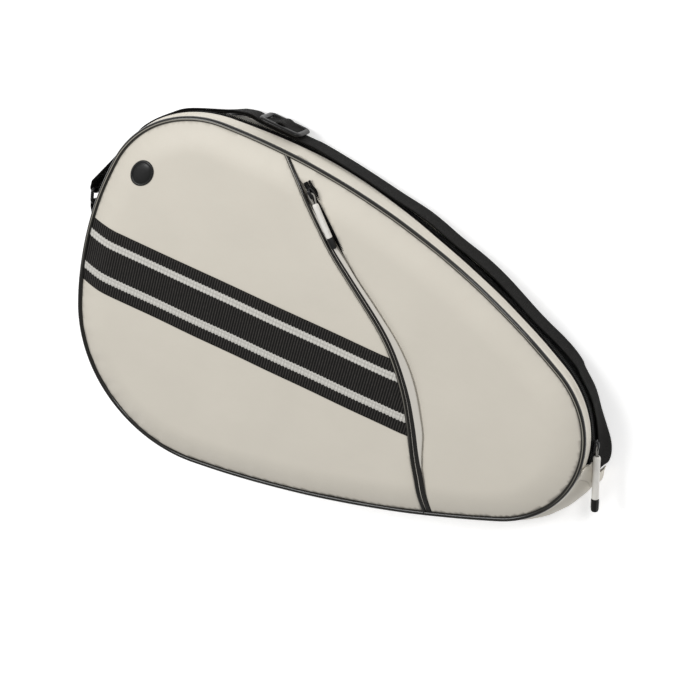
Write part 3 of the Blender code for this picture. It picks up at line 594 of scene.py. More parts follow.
def rounded_bead(length, width, height):
    """A small closed pill of triangles: (points, faces), longest along the first axis."""
    rings, sides = 3, 6
    points = [(-length / 2, 0, 0)]
    for i in range(rings):
        turn = math.pi * (i + 1) / (rings + 1)
        for j in range(sides):
            around = TAU * j / sides
            points.append((
                -length / 2 * math.cos(turn) * 0.95,
                width / 2 * math.sqrt(math.sin(turn)) * math.cos(around),
                height / 2 * math.sqrt(math.sin(turn)) * math.sin(around),
            ))
    points.append((length / 2, 0, 0))
    faces = []
    last = len(points) - 1
    for j in range(sides):
        k = (j + 1) % sides
        faces.append((0, 1 + k, 1 + j))
        faces.append((last, last - sides + j, last - sides + k))
        for i in range(rings - 1):
            a, b = 1 + i * sides + j, 1 + i * sides + k
            faces.append((a, b, b + sides))
            faces.append((a, b + sides, a + sides))
    return points, faces


# ---------------------------------------------------------------- looks
class Look:
    """A procedural material while it is being wired."""

    def __init__(self, name, colour, roughness, metallic=0.0):
        self.material = bpy.data.materials.new(name)
        self.material.use_nodes = True
        self.tree = self.material.node_tree
        self.shader = self.tree.nodes["Principled BSDF"]
        self.set("Base Color", (*colour, 1.0))
        self.set("Roughness", roughness)
        self.set("Metallic", metallic)
        self.last_bump = None

    def set(self, socket, value):
        self.shader.inputs[socket].default_value = value

    def node(self, kind, **settings):
        made = self.tree.nodes.new("ShaderNode" + kind)
        for key, value in settings.items():
            setattr(made, key, value)
        return made

    def wire(self, source, target):
        if isinstance(source, (int, float)):
            target.default_value = source
        else:
            self.tree.links.new(source, target)

    def maths(self, operation, first, second=0.0):
        made = self.node("Math", operation=operation)
        self.wire(first, made.inputs[0])
        self.wire(second, made.inputs[1])
        return made.outputs[0]

    def place(self):
        """Object coordinates, in metres."""
        return self.node("TexCoord").outputs["Object"]

    def uv(self):
        """(metres along, metres across) the piece."""
        coordinates = self.node("UVMap", uv_map="fabric")
        split = self.node("SeparateXYZ")
        self.wire(coordinates.outputs["UV"], split.inputs[0])
        return split.outputs["X"], split.outputs["Y"]

    def noise(self, size, detail=3.0):
        """Smooth noise whose features are about this many metres across."""
        made = self.node("TexNoise")
        made.inputs["Scale"].default_value = 1 / size
        made.inputs["Detail"].default_value = detail
        self.wire(self.place(), made.inputs["Vector"])
        return made.outputs["Fac"]

    def cells(self, size):
        made = self.node("TexVoronoi")
        made.inputs["Scale"].default_value = 1 / size
        self.wire(self.place(), made.inputs["Vector"])
        return made.outputs["Distance"]

    def wave(self, place, pitch, sharp=1.0):
        """0 to 1 and back once a pitch."""
        turned = self.maths("MULTIPLY", place, TAU / pitch)
        level = self.maths("MULTIPLY_ADD", self.maths("SINE", turned), 0.5)
        level.node.inputs[2].default_value = 0.5
        return self.maths("POWER", level, sharp) if sharp != 1.0 else level

    def ramp(self, level, stops):
        """Grey or colour stops as (place, value)."""
        made = self.node("ValToRGB")
        band = made.color_ramp
        while len(band.elements) < len(stops):
            band.elements.new(0.5)
        for element, (place, value) in zip(band.elements, stops):
            element.position = place
            element.color = (*((value,) * 3 if isinstance(value, (int, float)) else value), 1.0)
        self.wire(level, made.inputs[0])
        return made.outputs["Color"]

    def mix(self, level, first, second):
        made = self.node("Mix", data_type="RGBA")
        self.wire(level, made.inputs[0])
        for socket, colour in ((made.inputs[6], first), (made.inputs[7], second)):
            if isinstance(colour, tuple):
                socket.default_value = (*colour, 1.0)
            else:
                self.wire(colour, socket)
        return made.outputs[2]

    def paint(self, colour):
        self.wire(colour, self.shader.inputs["Base Color"])

    def polish(self, level, low, high):
        """Roughness between low and high, with the level."""
        made = self.node("MapRange")
        self.wire(level, made.inputs[0])
        made.inputs[3].default_value = low
        made.inputs[4].default_value = high
        self.wire(made.outputs[0], self.shader.inputs["Roughness"])

    def bump(self, level, depth):
        """Raises the surface by up to depth metres; calls add up."""
        made = self.node("Bump")
        made.inputs["Distance"].default_value = depth
        made.inputs["Strength"].default_value = 1.0
        self.wire(level, made.inputs["Height"])
        if self.last_bump:
            self.wire(self.last_bump, made.inputs["Normal"])
        self.last_bump = made.outputs["Normal"]
        self.wire(self.last_bump, self.shader.inputs["Normal"])


def shades(colour, spread):
    """A darker and a lighter version of a colour."""
    return tuple(c * (1 - spread) for c in colour), tuple(min(1, c * (1 + spread)) for c in colour)


def coated_fabric(name, colour):
    """Smooth coated cloth: faint mottling, fine grain and a soft sheen."""
    made = Look(name, colour, 0.5)
    dark, light = shades(colour, 0.045)
    made.paint(made.mix(made.noise(0.055, 4.0), dark, light))
    made.polish(made.noise(0.012), 0.44, 0.60)
    made.bump(made.noise(0.0011, 5.0), 0.00005)
    made.bump(made.cells(0.0006), 0.00003)
    made.bump(made.noise(0.018, 2.0), 0.00025)
    made.set("Sheen Weight", 0.06)
    made.set("Specular IOR Level", 0.35)
    return made.material


def glossy_cord(name, colour, roughness, highlight_strength=0.0):
    """Coated piping: glossy and scuffed, with a painted highlight down its crest that fades out away from
    the main zip.
    """
    made = Look(name, colour, roughness)
    dark, light = shades(colour, 0.35)
    _, across = made.uv()
    # Painted highlight: a pale line down the crest of the piping, strongest towards the main zip and scaled
    # by the last argument.
    crest = made.maths("LESS_THAN", made.maths("ABSOLUTE", across), 0.00040)
    split = made.node("SeparateXYZ")
    made.wire(made.place(), split.inputs[0])
    zip_side = made.maths("MULTIPLY_ADD", split.outputs["Y"], 12.0)
    zip_side.node.use_clamp = True
    painted_highlight = made.maths("MULTIPLY", crest, made.maths("MULTIPLY", zip_side, highlight_strength))
    # (0.34, 0.32, 0.27) is the colour of the painted highlight on the crest.
    made.paint(made.mix(painted_highlight, made.mix(made.noise(0.02), dark, light), (0.34, 0.32, 0.27)))
    made.polish(made.noise(0.006, 4.0), roughness - 0.07, roughness + 0.12)
    made.bump(made.noise(0.0025, 3.0), 0.00012)
    made.set("Specular IOR Level", 0.25)
    made.set("Coat Weight", 0.45)
    made.set("Coat Roughness", 0.07)
    return made.material


def woven(name, colour, along_pitch, across_pitch, depth, roughness=0.75):
    """Webbing or tape: ribs across it, crossed by finer lengthwise yarns, with painted shade in the weave's
    hollows and painted highlight on its crests.
    """
    made = Look(name, colour, roughness)
    along, across = made.uv()
    ribs = made.wave(along, along_pitch)
    yarns = made.wave(across, across_pitch)
    weave = made.maths("MULTIPLY", ribs, yarns)
    dark = tuple(c * 0.45 for c in colour)
    light = tuple(c * 2.0 for c in colour)
    # Painted highlight and shade: the colour runs from dark in the hollows to light on the crests of the
    # weave, unevenly with noise.
    painted_highlight = made.maths("MULTIPLY", made.noise(0.006, 5.0), weave)
    made.paint(made.mix(painted_highlight, dark, light))
    made.bump(ribs, depth)
    made.bump(yarns, depth * 0.6)
    made.bump(made.noise(0.0008), depth * 0.3)
    made.set("Specular IOR Level", 0.12)
    return made.material


def striped_band():
    """Ribbed black webbing with two pale stripes, whose edges step with the ribs."""
    made = Look("striped_webbing", (0.030, 0.029, 0.027), 0.72)
    along, across = made.uv()
    rib_pitch, step_pitch = 0.0024, 0.0033
    share = made.maths("DIVIDE", across, BAND_WIDTH)
    share = made.maths("ADD", share, 0.5)
    stepped = made.maths("MULTIPLY", made.wave(along, step_pitch), 0.012)
    share = made.maths("ADD", share, stepped)
    edge = 0.004
    stops = [(0.0, 0.0)]
    for low, high in STRIPES:
        stops += [(low, 0.0), (low + edge, 1.0), (high - edge, 1.0), (high, 0.0)]
    stripes = made.ramp(share, stops)
    ribs = made.wave(along, rib_pitch, 1.6)
    yarns = made.wave(across, 0.0009)
    fibre = made.noise(0.0012, 5.0)
    # Painted shade and highlight on the black: darker in the rib hollows, lighter on the rib crests,
    # unevenly with the fibre noise.
    black = made.mix(made.maths("MULTIPLY", ribs, fibre), (0.0035, 0.0032, 0.0032), (0.080, 0.074, 0.068))
    ladder = made.maths("MULTIPLY", made.wave(along, step_pitch, 0.5), made.wave(across, 0.0036, 0.5))
    cream = made.mix(ladder, (0.50, 0.485, 0.45), (0.68, 0.665, 0.62))
    made.paint(made.mix(stripes, black, cream))
    made.bump(ribs, 0.00028)
    made.bump(yarns, 0.00008)
    made.bump(stripes, 0.00020)
    made.set("Specular IOR Level", 0.15)
    return made.material


def moulded(name, colour, roughness, grain=0.0006, metallic=0.0, specular=0.5):
    """Plastic, rubber or painted metal: fine grain and uneven gloss."""
    made = Look(name, colour, roughness, metallic)
    dark, light = shades(colour, 0.10)
    made.paint(made.mix(made.noise(0.008), dark, light))
    made.polish(made.noise(0.003, 5.0), roughness * 0.8, roughness * 1.3)
    made.bump(made.noise(grain, 4.0), 0.00003)
    made.set("Specular IOR Level", specular)
    return made.material


def foam_look():
    made = Look("foam_grey", (0.20, 0.20, 0.21), 0.95)
    cells = made.cells(0.0012)
    # Painted shade in the cell hollows: darker where the cells are deepest, lighter on their rims.
    made.paint(made.mix(cells, (0.13, 0.13, 0.14), (0.27, 0.27, 0.28)))
    made.bump(cells, 0.0004)
    return made.material


CREAM = (0.645, 0.605, 0.527)
LOOKS = {
    "cream_fabric": coated_fabric("cream_fabric", CREAM),
    # A greyer, darker copy of the cream fabric, used on the zip flap as painted shade.
    "cream_edge": coated_fabric("cream_edge", (0.600, 0.572, 0.520)),
    # The piping's last argument sets its painted crest highlight; the binding has none.
    "black_piping": glossy_cord("black_piping", (0.0085, 0.0078, 0.0062), 0.34, 0.8),
    "black_binding": glossy_cord("black_binding", (0.0085, 0.0075, 0.0065), 0.40),
    "black_webbing": woven("black_webbing", (0.0095, 0.0088, 0.0078), 0.0017, 0.0011, 0.00022),
    "striped_webbing": striped_band(),
    "zip_black": woven("zip_black", (0.0080, 0.0075, 0.0070), 0.0009, 0.0006, 0.00012, 0.65),
    "zip_coil": moulded("zip_coil", (0.010, 0.010, 0.010), 0.40, specular=0.25),
    "slider_metal": moulded("slider_metal", (0.030, 0.030, 0.031), 0.30, metallic=0.85),
    "cream_rubber": moulded("cream_rubber", (0.755, 0.735, 0.690), 0.48),
    "black_rubber": moulded("black_rubber", (0.008, 0.008, 0.008), 0.38, specular=0.3),
    "buckle_plastic": moulded("buckle_plastic", (0.0062, 0.0060, 0.0058), 0.30, 0.0009, specular=0.28),
    "badge_black": moulded("badge_black", (0.009, 0.009, 0.009), 0.40, specular=0.35),
    "lining_black": woven("lining_black", (0.030, 0.030, 0.032), 0.0012, 0.0012, 0.00010, 0.85),
    "foam_grey": foam_look(),
    "pull_cord": moulded("pull_cord", (0.26, 0.25, 0.23), 0.42),
    "cream_thread": moulded("cream_thread", (0.72, 0.70, 0.65), 0.6),
}


# ---------------------------------------------------------------- gusset geometry
def strip_width(x):
    return STRIP_WIDTH + STRIP_SWELL * np.exp(-(((x - STRIP_SWELL_X) / STRIP_SWELL_SPREAD) ** 2))


def zip_height(angle):
    """Height of the line where the two zip coils meet."""
    return WALL_HIGH_Z - ZIP_DROP - strip_width(rim(angle)[..., 0])


def bulge(angle):
    """How far the gusset swells out halfway up; even along the zip side."""
    depth = np.maximum(0.0, -np.sin(angle))
    return ZIP_SIDE_BULGE + (HINGE_SIDE_BULGE - ZIP_SIDE_BULGE) * np.sqrt(depth)


def wall_offset(angle, height):
    share = np.clip((height - WALL_LOW_Z) / (WALL_HIGH_Z - WALL_LOW_Z), 0, 1)
    return WALL_OFFSET + bulge(angle) * np.sin(math.pi * share)


def wall_grid(angles, heights, offsets):
    """Frame points for rows of heights and offsets (rows x angles)."""
    plan = rim(np.broadcast_to(angles, heights.shape), offsets)
    return placed(plan, heights)


def sheet_of(name, points, look, thickness=None):
    """A sheet through a rows x columns grid, with UVs in metres; its thickness goes half each way."""
    rows, columns = points.shape[:2]
    uvs = np.meshgrid(run_along(points[rows // 2]), run_along(points[:, columns // 2]))
    uvs = np.stack(uvs, -1).reshape(-1, 2)
    sheet = new_mesh(name, points.reshape(-1, 3), grid_faces(rows, columns), look, uvs)
    if thickness:
        thicken(sheet, thickness, offset=0.0)
    return sheet


def sag(angle, height, seed):
    """Low waves along the rim; each seed gives its own."""
    place = along_rim(angle)
    rng = np.random.default_rng(seed)
    total = 0
    for length in (0.047, 0.083, 0.131):
        total = total + np.sin(place * TAU / length + rng.uniform(0, TAU))
    return height * total / 3


def tip_reach(x):
    """Extra depth of the back tape where the strap sits low."""
    return 0.0056 * eased((x - 0.02) / 0.12) + 0.0062 * eased((x - 0.13) / 0.07)


def fold_height(angles, sign):
    """Height of a strip's folded edge beside the zip: front strip +1, back strip -1."""
    edge = zip_height(angles) + sign * TAPE_EDGE
    if sign > 0:
        return edge
    x = rim(angles)[:, 0]
    head_climb = 0.0022 * eased((-0.10 - x) / 0.05)
    return edge + head_climb - tip_reach(x)


def gusset_strip(side, sign):
    """Fabric from the piping to a folded, stitched edge beside the zip, slightly hollow between."""
    seed = 11 if sign > 0 else 21
    angles = rim_run(ZIP_START, ZIP_END, spacing=0.0025)
    top = np.full_like(angles, GUSSET_HIGH_Z if sign > 0 else GUSSET_LOW_Z)
    fold = fold_height(angles, sign) + sag(angles, 0.0004, seed)
    shares = np.array([0, 0.04, 0.1, 0.2, 0.35, 0.5, 0.65, 0.8, 0.88, 0.93, 0.97, 1.0])
    heights, offsets = [], []
    for share in shares:
        height = top + (fold - top) * share
        hollow = 0.0008 * math.sin(math.pi * min(1.0, share / 0.9)) ** 2
        tuck = 0.0004 * max(0.0, 1 - share / 0.06)
        ridge = 0.00035 * math.exp(-(((share - 0.95) / 0.035) ** 2))
        heights.append(height)
        offsets.append(wall_offset(angles, height) - hollow - tuck + ridge
                       + sag(angles, 0.0004, seed + 1) * math.sin(math.pi * share))
    fold_radius = 0.0005
    hem_depth = 0.004
    edge_height, edge_offset = heights[-1], offsets[-1]
    for turn in (0.25, 0.5, 0.75, 1.0):
        angle = math.pi * turn
        heights.append(edge_height - sign * fold_radius * math.sin(angle))
        offsets.append(edge_offset - fold_radius * (1 - math.cos(angle)))
    heights.append(edge_height + sign * hem_depth)
    offsets.append(edge_offset - 2 * fold_radius)
    points = wall_grid(angles, np.array(heights), np.array(offsets))
    name = f"{side}_gusset_fabric"
    body = f"{side}_shell"
    strip = sheet_of(name, points, "cream_fabric")
    finish_piece(strip, body, (f"gusset_{side}_strip",))
    stitch_height = edge_height + sign * 0.0019
    stitch_offset = wall_offset(angles, stitch_height) + 0.0001
    stitch_line = wall_grid(angles, stitch_height[None], stitch_offset[None])[0]
    finish_piece(stitched(name + "_stitching", stitch_line, rim_outward(angles)), body)


def rim_outward(angles):
    out = unit(angles)
    return np.column_stack([out, np.zeros(len(out))])


def stitched(name, line, outward):
    """A row of thread stitches along a line of points, lying on the surface."""
    run = run_along(line)
    tangent = directions(line)
    places = []
    for distance in np.arange(STITCH_PITCH, run[-1] - STITCH_PITCH, STITCH_PITCH):
        origin, ahead, out = (
            np.array([np.interp(distance, run, values[:, i]) for i in range(3)])
            for values in (line, tangent, outward))
        ahead = normalised(ahead)
        across = normalised(np.cross(out, ahead))
        places.append((origin, (ahead, across, np.cross(ahead, across))))
    stitch = rounded_bead(STITCH_LENGTH, STITCH_WIDTH, STITCH_WIDTH)
    return repeated(name, stitch, places, "cream_thread")


# ---------------------------------------------------------------- gussets and zip
def zip_tape(side, sign):
    """Woven tape on one side of the zip's centre line."""
    angles = rim_run(ZIP_START, ZIP_END, spacing=0.0030)
    reach = TAPE_FAR + (0.0 if sign > 0 else tip_reach(rim(angles)[:, 0]))
    centre, near, far = zip_height(angles), sign * TAPE_NEAR, sign * reach
    heights = np.array([centre + near + (far - near) * share for share in np.linspace(0, 1, 6)])
    offsets = np.array([wall_offset(angles, height) - TAPE_INSET for height in heights])
    offsets[0] -= 0.0002
    tape = sheet_of(f"{side}_zip_tape", wall_grid(angles, heights, offsets), "zip_black", 0.0006)
    finish_piece(tape, f"{side}_shell", (f"zip_tape_{side}",))


def coil_teeth(side, sign):
    """The zip's spiral teeth, one pill each, half a pitch apart on the two sides."""
    angles = rim_run(ZIP_START + 0.045, ZIP_END - 0.022, TOOTH_PITCH)
    if sign > 0:
        angles = (angles[1:] + angles[:-1]) / 2
    height = zip_height(angles)
    middle = placed(rim(angles, wall_offset(angles, height)), height + sign * 0.0015)
    places = []
    for origin, outward, along in zip(middle, rim_outward(angles), directions(middle)):
        up = normalised(np.cross(outward, along))
        up = up * np.sign(up[2])
        places.append((origin, (up, np.cross(up, outward), outward)))
    tooth = rounded_bead(length=0.0026, width=0.0011, height=0.0015)
    teeth = repeated(f"{side}_zip_teeth", tooth, places, "zip_coil")
    finish_piece(teeth, f"{side}_shell", (f"zip_coil_{side}",))


def zip_stop(name, node):
    """A metal clamp at one end of the zip, where its CAD solid is."""
    low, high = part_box(node)
    middle = np.array((low + high)[:2])[None] / 2 - np.array(ORIGIN[:2])
    _, facing = nearest_rim(middle)
    outward = unit(facing[0])
    axes = (UP, np.append(unit(facing[0] + math.pi / 2), 0.0), np.append(outward, 0.0))
    origin = placed(middle, (low.z + high.z) / 2)[0]
    clamp = rounded_bead(length=0.0062, width=0.0020, height=0.0026)
    stop = repeated(name, clamp, [(origin, axes)], "slider_metal")
    finish_piece(stop, "back_shell", (node,))


def build_zip_side():
    for build in (gusset_strip, zip_tape, coil_teeth):
        build("front", 1)
        build("back", -1)
    zip_stop("tip_stop", "zip_stop_tip")
    zip_stop("head_stop", "zip_stop_head")


def bend_with_lid(obj):
    """Bakes the piece's place into its points; it is not tied to either shell."""
    x, y, _ = placed(rim(HINGE_MIDDLE), 0.0)
    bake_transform(obj)


def build_hinge_gusset():
    """One strip of fabric from the back piping to the front piping."""
    overlap = 0.006
    angles = rim_run(ZIP_END - overlap, ZIP_START + TAU + overlap, spacing=0.0030)
    heights, offsets = [], []
    for share in np.linspace(0, 1, 25):
        height = np.full_like(angles, GUSSET_LOW_Z + (GUSSET_HIGH_Z - GUSSET_LOW_Z) * share)
        tuck = 0.0006 * max(0.0, 1 - min(share, 1 - share) / 0.05)
        loose = math.sin(math.pi * share)
        heights.append(height)
        offsets.append(wall_offset(angles, height) - tuck + sag(angles, 0.0007, 31) * loose
                       + 0.0003 * np.sin(along_rim(angles) * TAU / 0.019) * loose * (1 - share))
    points = wall_grid(angles, np.array(heights), np.array(offsets))
    gusset = sheet_of("hinge_gusset_fabric", points, "cream_fabric")
    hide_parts("hinge_gusset_lower", "hinge_gusset_upper")
    bend_with_lid(gusset)


def build_tip_cuff():
    """The gusset's folded end, sewn over the ends of the zip and the strap."""
    first, last = math.radians(-8.0), math.radians(0.8)
    angles = rim_run(first, last, spacing=0.0008)
    raised = eased((angles - first) / (last - first) / 0.8)
    strap_reach = math.radians(4.5)
    heights, plans = [], []
    for share in np.linspace(0, 1, 19):
        height = BACK_RIM_Z + 0.0016 + (FRONT_RIM_Z - BACK_RIM_Z - 0.0046) * share
        over_strap = float(eased((0.031 - height) / 0.010))
        row = angles - strap_reach * over_strap
        lift = raised * (0.0010 + 0.0021 * over_strap)
        plans.append(rim(row, wall_offset(row, height) + 0.0003 + lift))
        heights.append(np.full_like(angles, height))
    cuff = sheet_of("tip_cuff", placed(np.array(plans), np.array(heights)), "cream_fabric", 0.0010)
    bend_with_lid(cuff)


def lining_sheet(name, angles, low, high, seed, rows, foot=False):
    """Lining up the inside of a gusset; its foot turns in over the back lining's edge."""
    shares = np.linspace(0, 1, rows)
    heights = [low + (high - low) * share for share in shares]
    offsets = [-0.0010 + sag(angles, 0.0004, seed) * math.sin(math.pi * s) for s in shares]
    if foot:
        heights.insert(0, np.full_like(angles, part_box("back_lining")[1].z + 0.0005))
        offsets.insert(0, np.full_like(angles, -0.0060))
    points = wall_grid(angles, np.array(heights), np.array(offsets))
    return sheet_of(name, points, "lining_black", LINING_THICKNESS)


def build_gusset_linings():
    """Lining inside both zip-side strips, and one lining inside the hinge gusset."""
    clear_of_tape = TAPE_EDGE + 0.0008
    angles = rim_run(ZIP_START - 0.02, ZIP_END + 0.02, spacing=0.004)
    zip_line = zip_height(angles)
    for side, low, high, seed in (
        ("back", WALL_LOW_Z, zip_line - clear_of_tape, 41),
        ("front", zip_line + clear_of_tape, WALL_HIGH_Z, 42),
    ):
        lining = lining_sheet(f"{side}_gusset_lining", angles, low, high, seed, 7)
        finish_piece(lining, f"{side}_shell", (f"gusset_{side}_lining",))
    angles = rim_run(ZIP_END, ZIP_START + TAU, spacing=0.004)
    low = np.full_like(angles, WALL_LOW_Z)
    lining = lining_sheet("hinge_gusset_lining", angles, low, WALL_HIGH_Z, 43, 25, foot=True)
    bend_with_lid(lining)


# ---------------------------------------------------------------- panels
def seam_crossings(edge_u, edge=PANEL_EDGE):
    """Where a line beside the seam meets the panel's edge, as two distances along the seam."""
    places = np.linspace(-0.03, SEAM_LENGTH + 0.09, 2400)
    depth, _ = nearest_rim(seam(places, edge_u(places)))
    inside = np.flatnonzero(depth > edge)
    return places[inside[0]], places[inside[-1]]


def side_of_seam(edge_u, pocket_side):
    """(outline, keep function) of the face on one side of a line beside the seam."""
    first, last = seam_crossings(edge_u)
    places = np.linspace(first, last, round((last - first) / COVER_SPACING) + 1)
    line = seam(places, edge_u(places))
    _, facing = nearest_rim(line[[0, -1]])
    if pocket_side:
        angles = rim_run(facing[0], facing[1], COVER_SPACING)
        line = line[::-1]
    else:
        angles = rim_run(facing[1], facing[0] + TAU, COVER_SPACING)
    outline = np.concatenate([line, rim(angles[1:-1], -PANEL_EDGE)])

    def keep(points, margin):
        depth, _ = nearest_rim(points)
        s, u = seam_place(points)
        gap = (edge_u(s) - u) if pocket_side else (u - edge_u(s))
        return (depth > PANEL_EDGE + margin) & (gap > margin)

    return outline, keep


def pocket_height(points):
    """The pocket panel dips slightly where it meets the seam's piping."""
    _, u = seam_place(points)
    near = np.exp(-((np.minimum(u, 0) / 0.0045) ** 2))
    return cover_height(points) - 0.0008 * near * pillow(points)


def side_height(points):
    """The side panel dips under the flap and rolls down into the open zip."""
    s, u = seam_place(points)
    gap = u - panel_edge_u(s)
    opened = np.exp(-(((s - 0.058) / 0.026) ** 4))
    roll = (0.0012 - 0.0011 * opened) * np.exp(-((gap / 0.0045) ** 2))
    beyond_flap = u - flap_edge(s)
    under = 0.0024 * np.exp(-((np.maximum(beyond_flap, 0) / 0.0034) ** 2)) * eased((s - 0.075) / 0.03)
    return cover_height(points) - np.maximum(roll, under) * pillow(points)


def build_front_panels():
    for name, edge_u, pocket_side, height, node in (
        ("pocket_cover", lambda s: seam_drift(s) + 0.0010, True, pocket_height, "pocket_panel"),
        ("side_cover", panel_edge_u, False, side_height, "side_panel"),
    ):
        outline, keep = side_of_seam(edge_u, pocket_side)
        cover = filled(name, outline, keep, height, "cream_fabric", COVER_SPACING)
        thicken(cover, COVER_THICKNESS)
        finish_piece(cover, "front_shell", (node,))


def whole_face(name, body, node, look, height, edge, thickness, spacing=LAYER_SPACING):
    """A layer of a shell with the outline's own shape, its edge this far inside the piping loop."""
    angles = rim_run(0.0, TAU, spacing)[:-1]

    def keep(points, margin):
        depth, _ = nearest_rim(points)
        return (depth > edge + margin) & (depth < 0.9)

    layer = filled(name, rim(angles, -edge), keep, height, look, spacing)
    thicken(layer, thickness, offset=0.0)
    finish_piece(layer, body, (node,))
    return layer


def build_layers():
    """Everything between the outer covers: padding, linings and the pocket's back wall."""
    def below(drop, wave, seed):
        return lambda points: (
            face_height(points) - drop + ripple(points, wavelength=0.06, height=wave, seed=seed))

    foam_low, foam_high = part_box("back_foam")
    foam_z = (foam_low.z + foam_high.z) / 2
    lining_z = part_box("back_lining")[1].z - 0.0003
    whole_face("pocket_back_wall", "front_shell", "pocket_back_panel", "cream_fabric",
               below(drop=0.0064, wave=0.0002, seed=51), edge=0.0032, thickness=0.0008)
    foam = whole_face("front_padding", "front_shell", "front_foam", "foam_grey",
                      below(drop=0.0084, wave=0.0001, seed=52), edge=0.0062, thickness=FOAM_THICKNESS)
    whole_face("front_inner_lining", "front_shell", "front_lining", "lining_black",
               below(drop=0.0102, wave=0.0002, seed=53), edge=0.0019, thickness=LINING_THICKNESS)
    foam = whole_face("back_padding", "back_shell", "back_foam", "foam_grey",
                      lambda points: np.full(len(points), foam_z), edge=0.0047, thickness=FOAM_THICKNESS)
    whole_face("back_inner_lining", "back_shell", "back_lining", "lining_black",
               lambda points: lining_z + ripple(points, wavelength=0.05, height=0.0002, seed=54),
               edge=0.0009, thickness=LINING_THICKNESS)
    whole_face("back_cover", "back_shell", "back_panel", "cream_fabric", back_height,
               edge=PANEL_EDGE, thickness=0.0010, spacing=0.004)


def back_height(points):
    """The back cover lies flat, and rolls up to its piping at the edge."""
    depth, _ = nearest_rim(points)
    share = np.clip((depth - PANEL_EDGE) / 0.010, 0, 1)
    return 0.0006 + (BACK_RIM_Z - 0.0010) * (1 - np.sin(share * math.pi / 2))


# ---------------------------------------------------------------- piping, band, badge
def piping_u(s):
    """Middle line of the pocket seam's piping, to the seam's tip-ward side."""
    return POCKET_PIPING_U + seam_drift(s)


def build_piping():
    angles = rim_run(0.0, TAU, spacing=0.0022)[:-1]
    turned = np.degrees(angles)
    hinge_tuck = 0.0021 * (eased((turned - 232) / 15) + eased((4 - turned) / 4))
    for side, height, tuck, seed in (("front", FRONT_RIM_Z, 0.0, 61), ("back", BACK_RIM_Z, hinge_tuck, 62)):
        path = placed(rim(angles, sag(angles, 0.0001, seed) - tuck), height)
        radius = PIPING_RADIUS + sag(angles, 0.00006, seed + 5)
        piping = tube(f"{side}_edge_piping", path, radius, "black_piping", closed=True)
        finish_piece(piping, f"{side}_shell", (f"{side}_piping",))
    first, last = seam_crossings(piping_u, 0.0008)
    places = np.linspace(first, last, 220)
    plan = seam(places, piping_u(places))
    path = placed(plan, face_height(plan) + 0.0001)
    piping = tube("seam_piping", path, POCKET_PIPING_RADIUS, "black_piping")
    finish_piece(piping, "front_shell", ("pocket_piping",))


def build_flap():
    """The folded flap along the seam's piping; its free edge stands just off the side panel."""
    _, last = seam_crossings(flap_edge, FLAP_END_GAP)
    places = np.linspace(FLAP_FROM, last, 230)
    inner = piping_u(places) + 0.0006
    outer = np.maximum(flap_edge(places), inner + 0.0008)
    half = 0.00055
    lift = 0.0003 * eased((places - FLAP_FROM) / 0.03) * eased((last - places) / 0.05)

    def surface(share):
        plan = seam(places, inner + (outer - inner) * share)
        crown = lift * share + 0.0004 * math.sin(math.pi * share)
        return plan, face_height(plan) - 0.0003 + crown

    shares = (0, 0.2, 0.4, 0.6, 0.8, 0.92)
    rows = [placed(*surface(share)) for share in shares]
    _, edge_height = surface(1.0)
    for turn in np.linspace(0.15, 0.85, 5):
        angle = math.pi * turn
        plan = seam(places, outer - half * (1 - math.sin(angle)))
        rows.append(placed(plan, edge_height - half * (1 - math.cos(angle))))
    for share in shares[::-1]:
        plan, height = surface(share)
        rows.append(placed(plan, height - 2 * half))
    points = np.array(rows)
    count, columns = points.shape[:2]
    faces = grid_faces(count, columns, closed_rows=True).tolist()
    faces.append([i * columns for i in range(count)][::-1])
    faces.append([i * columns + columns - 1 for i in range(count)])
    # The flap wears the darker copy of the cream fabric: painted shade.
    flap = new_mesh("zip_flap_fabric", points.reshape(-1, 3), faces, "cream_edge")
    flap.data.set_sharp_from_angle(angle=math.radians(60))
    finish_piece(flap, "front_shell", ("zip_flap",))


# Width of the second black binding, by distance along the seam.
binding_width = soft_table(
    [(0.06, 0.0008), (0.10, 0.0014), (0.20, 0.0020), (0.26, 0.0036), (0.35, 0.0040)], blur=0.012)


def build_seam_binding():
    """A second black binding on the flap, close beside the seam's piping."""
    _, last = seam_crossings(flap_edge, FLAP_END_GAP)
    places = np.linspace(0.070, last, 200)
    breadth = binding_width(places)
    plan = seam(places, piping_u(places) + 0.0026 + breadth / 2)
    path = placed(plan, face_height(plan) - 0.0001)
    radii = np.stack([breadth / 2 + 0.0004, np.full_like(places, 0.0007)], -1)
    binding = tube("seam_binding", path, radii, "black_binding")
    finish_piece(binding, "front_shell")


def band_point(along, across):
    """Plan points of the striped band, along it and across it."""
    ahead = unit(BAND_HEADING)
    return BAND_POINT + along[..., None] * ahead + across[..., None] * left_of(ahead)


def build_band():
    """The striped webbing, from the rim to the pocket seam, lying on the pocket panel."""
    columns, rows = 300, 33
    across = np.linspace(-BAND_WIDTH / 2, BAND_WIDTH / 2, rows)
    trial = np.linspace(-0.12, 0.40, 2600)
    starts, ends = [], []
    for value in across:
        points = band_point(trial, np.full_like(trial, value))
        depth, _ = nearest_rim(points)
        s, u = seam_place(points)
        inside = np.flatnonzero((depth > 0.0012) & (u < seam_drift(s) + 0.0012))
        starts.append(trial[inside[0]])
        ends.append(trial[inside[-1]])
    share = np.linspace(0, 1, columns)
    along = np.array(starts)[:, None] * (1 - share) + np.array(ends)[:, None] * share
    side = np.broadcast_to(across[:, None], along.shape)
    plan = band_point(along, side).reshape(-1, 2)
    rise = 0.0011 * np.minimum(1.0, 0.55 + 0.45 * pillow(plan))
    edge_roll = 0.0002 * (np.abs(side).ravel() / (BAND_WIDTH / 2)) ** 12
    points = placed(plan, pocket_height(plan) + rise - edge_roll)
    uvs = np.stack([along.ravel(), side.ravel()], -1)
    band = new_mesh("striped_webbing_band", points, grid_faces(rows, columns)[:, ::-1],
                    "striped_webbing", uvs)
    thicken(band, 0.0010)
    finish_piece(band, "front_shell", ("striped_band",))


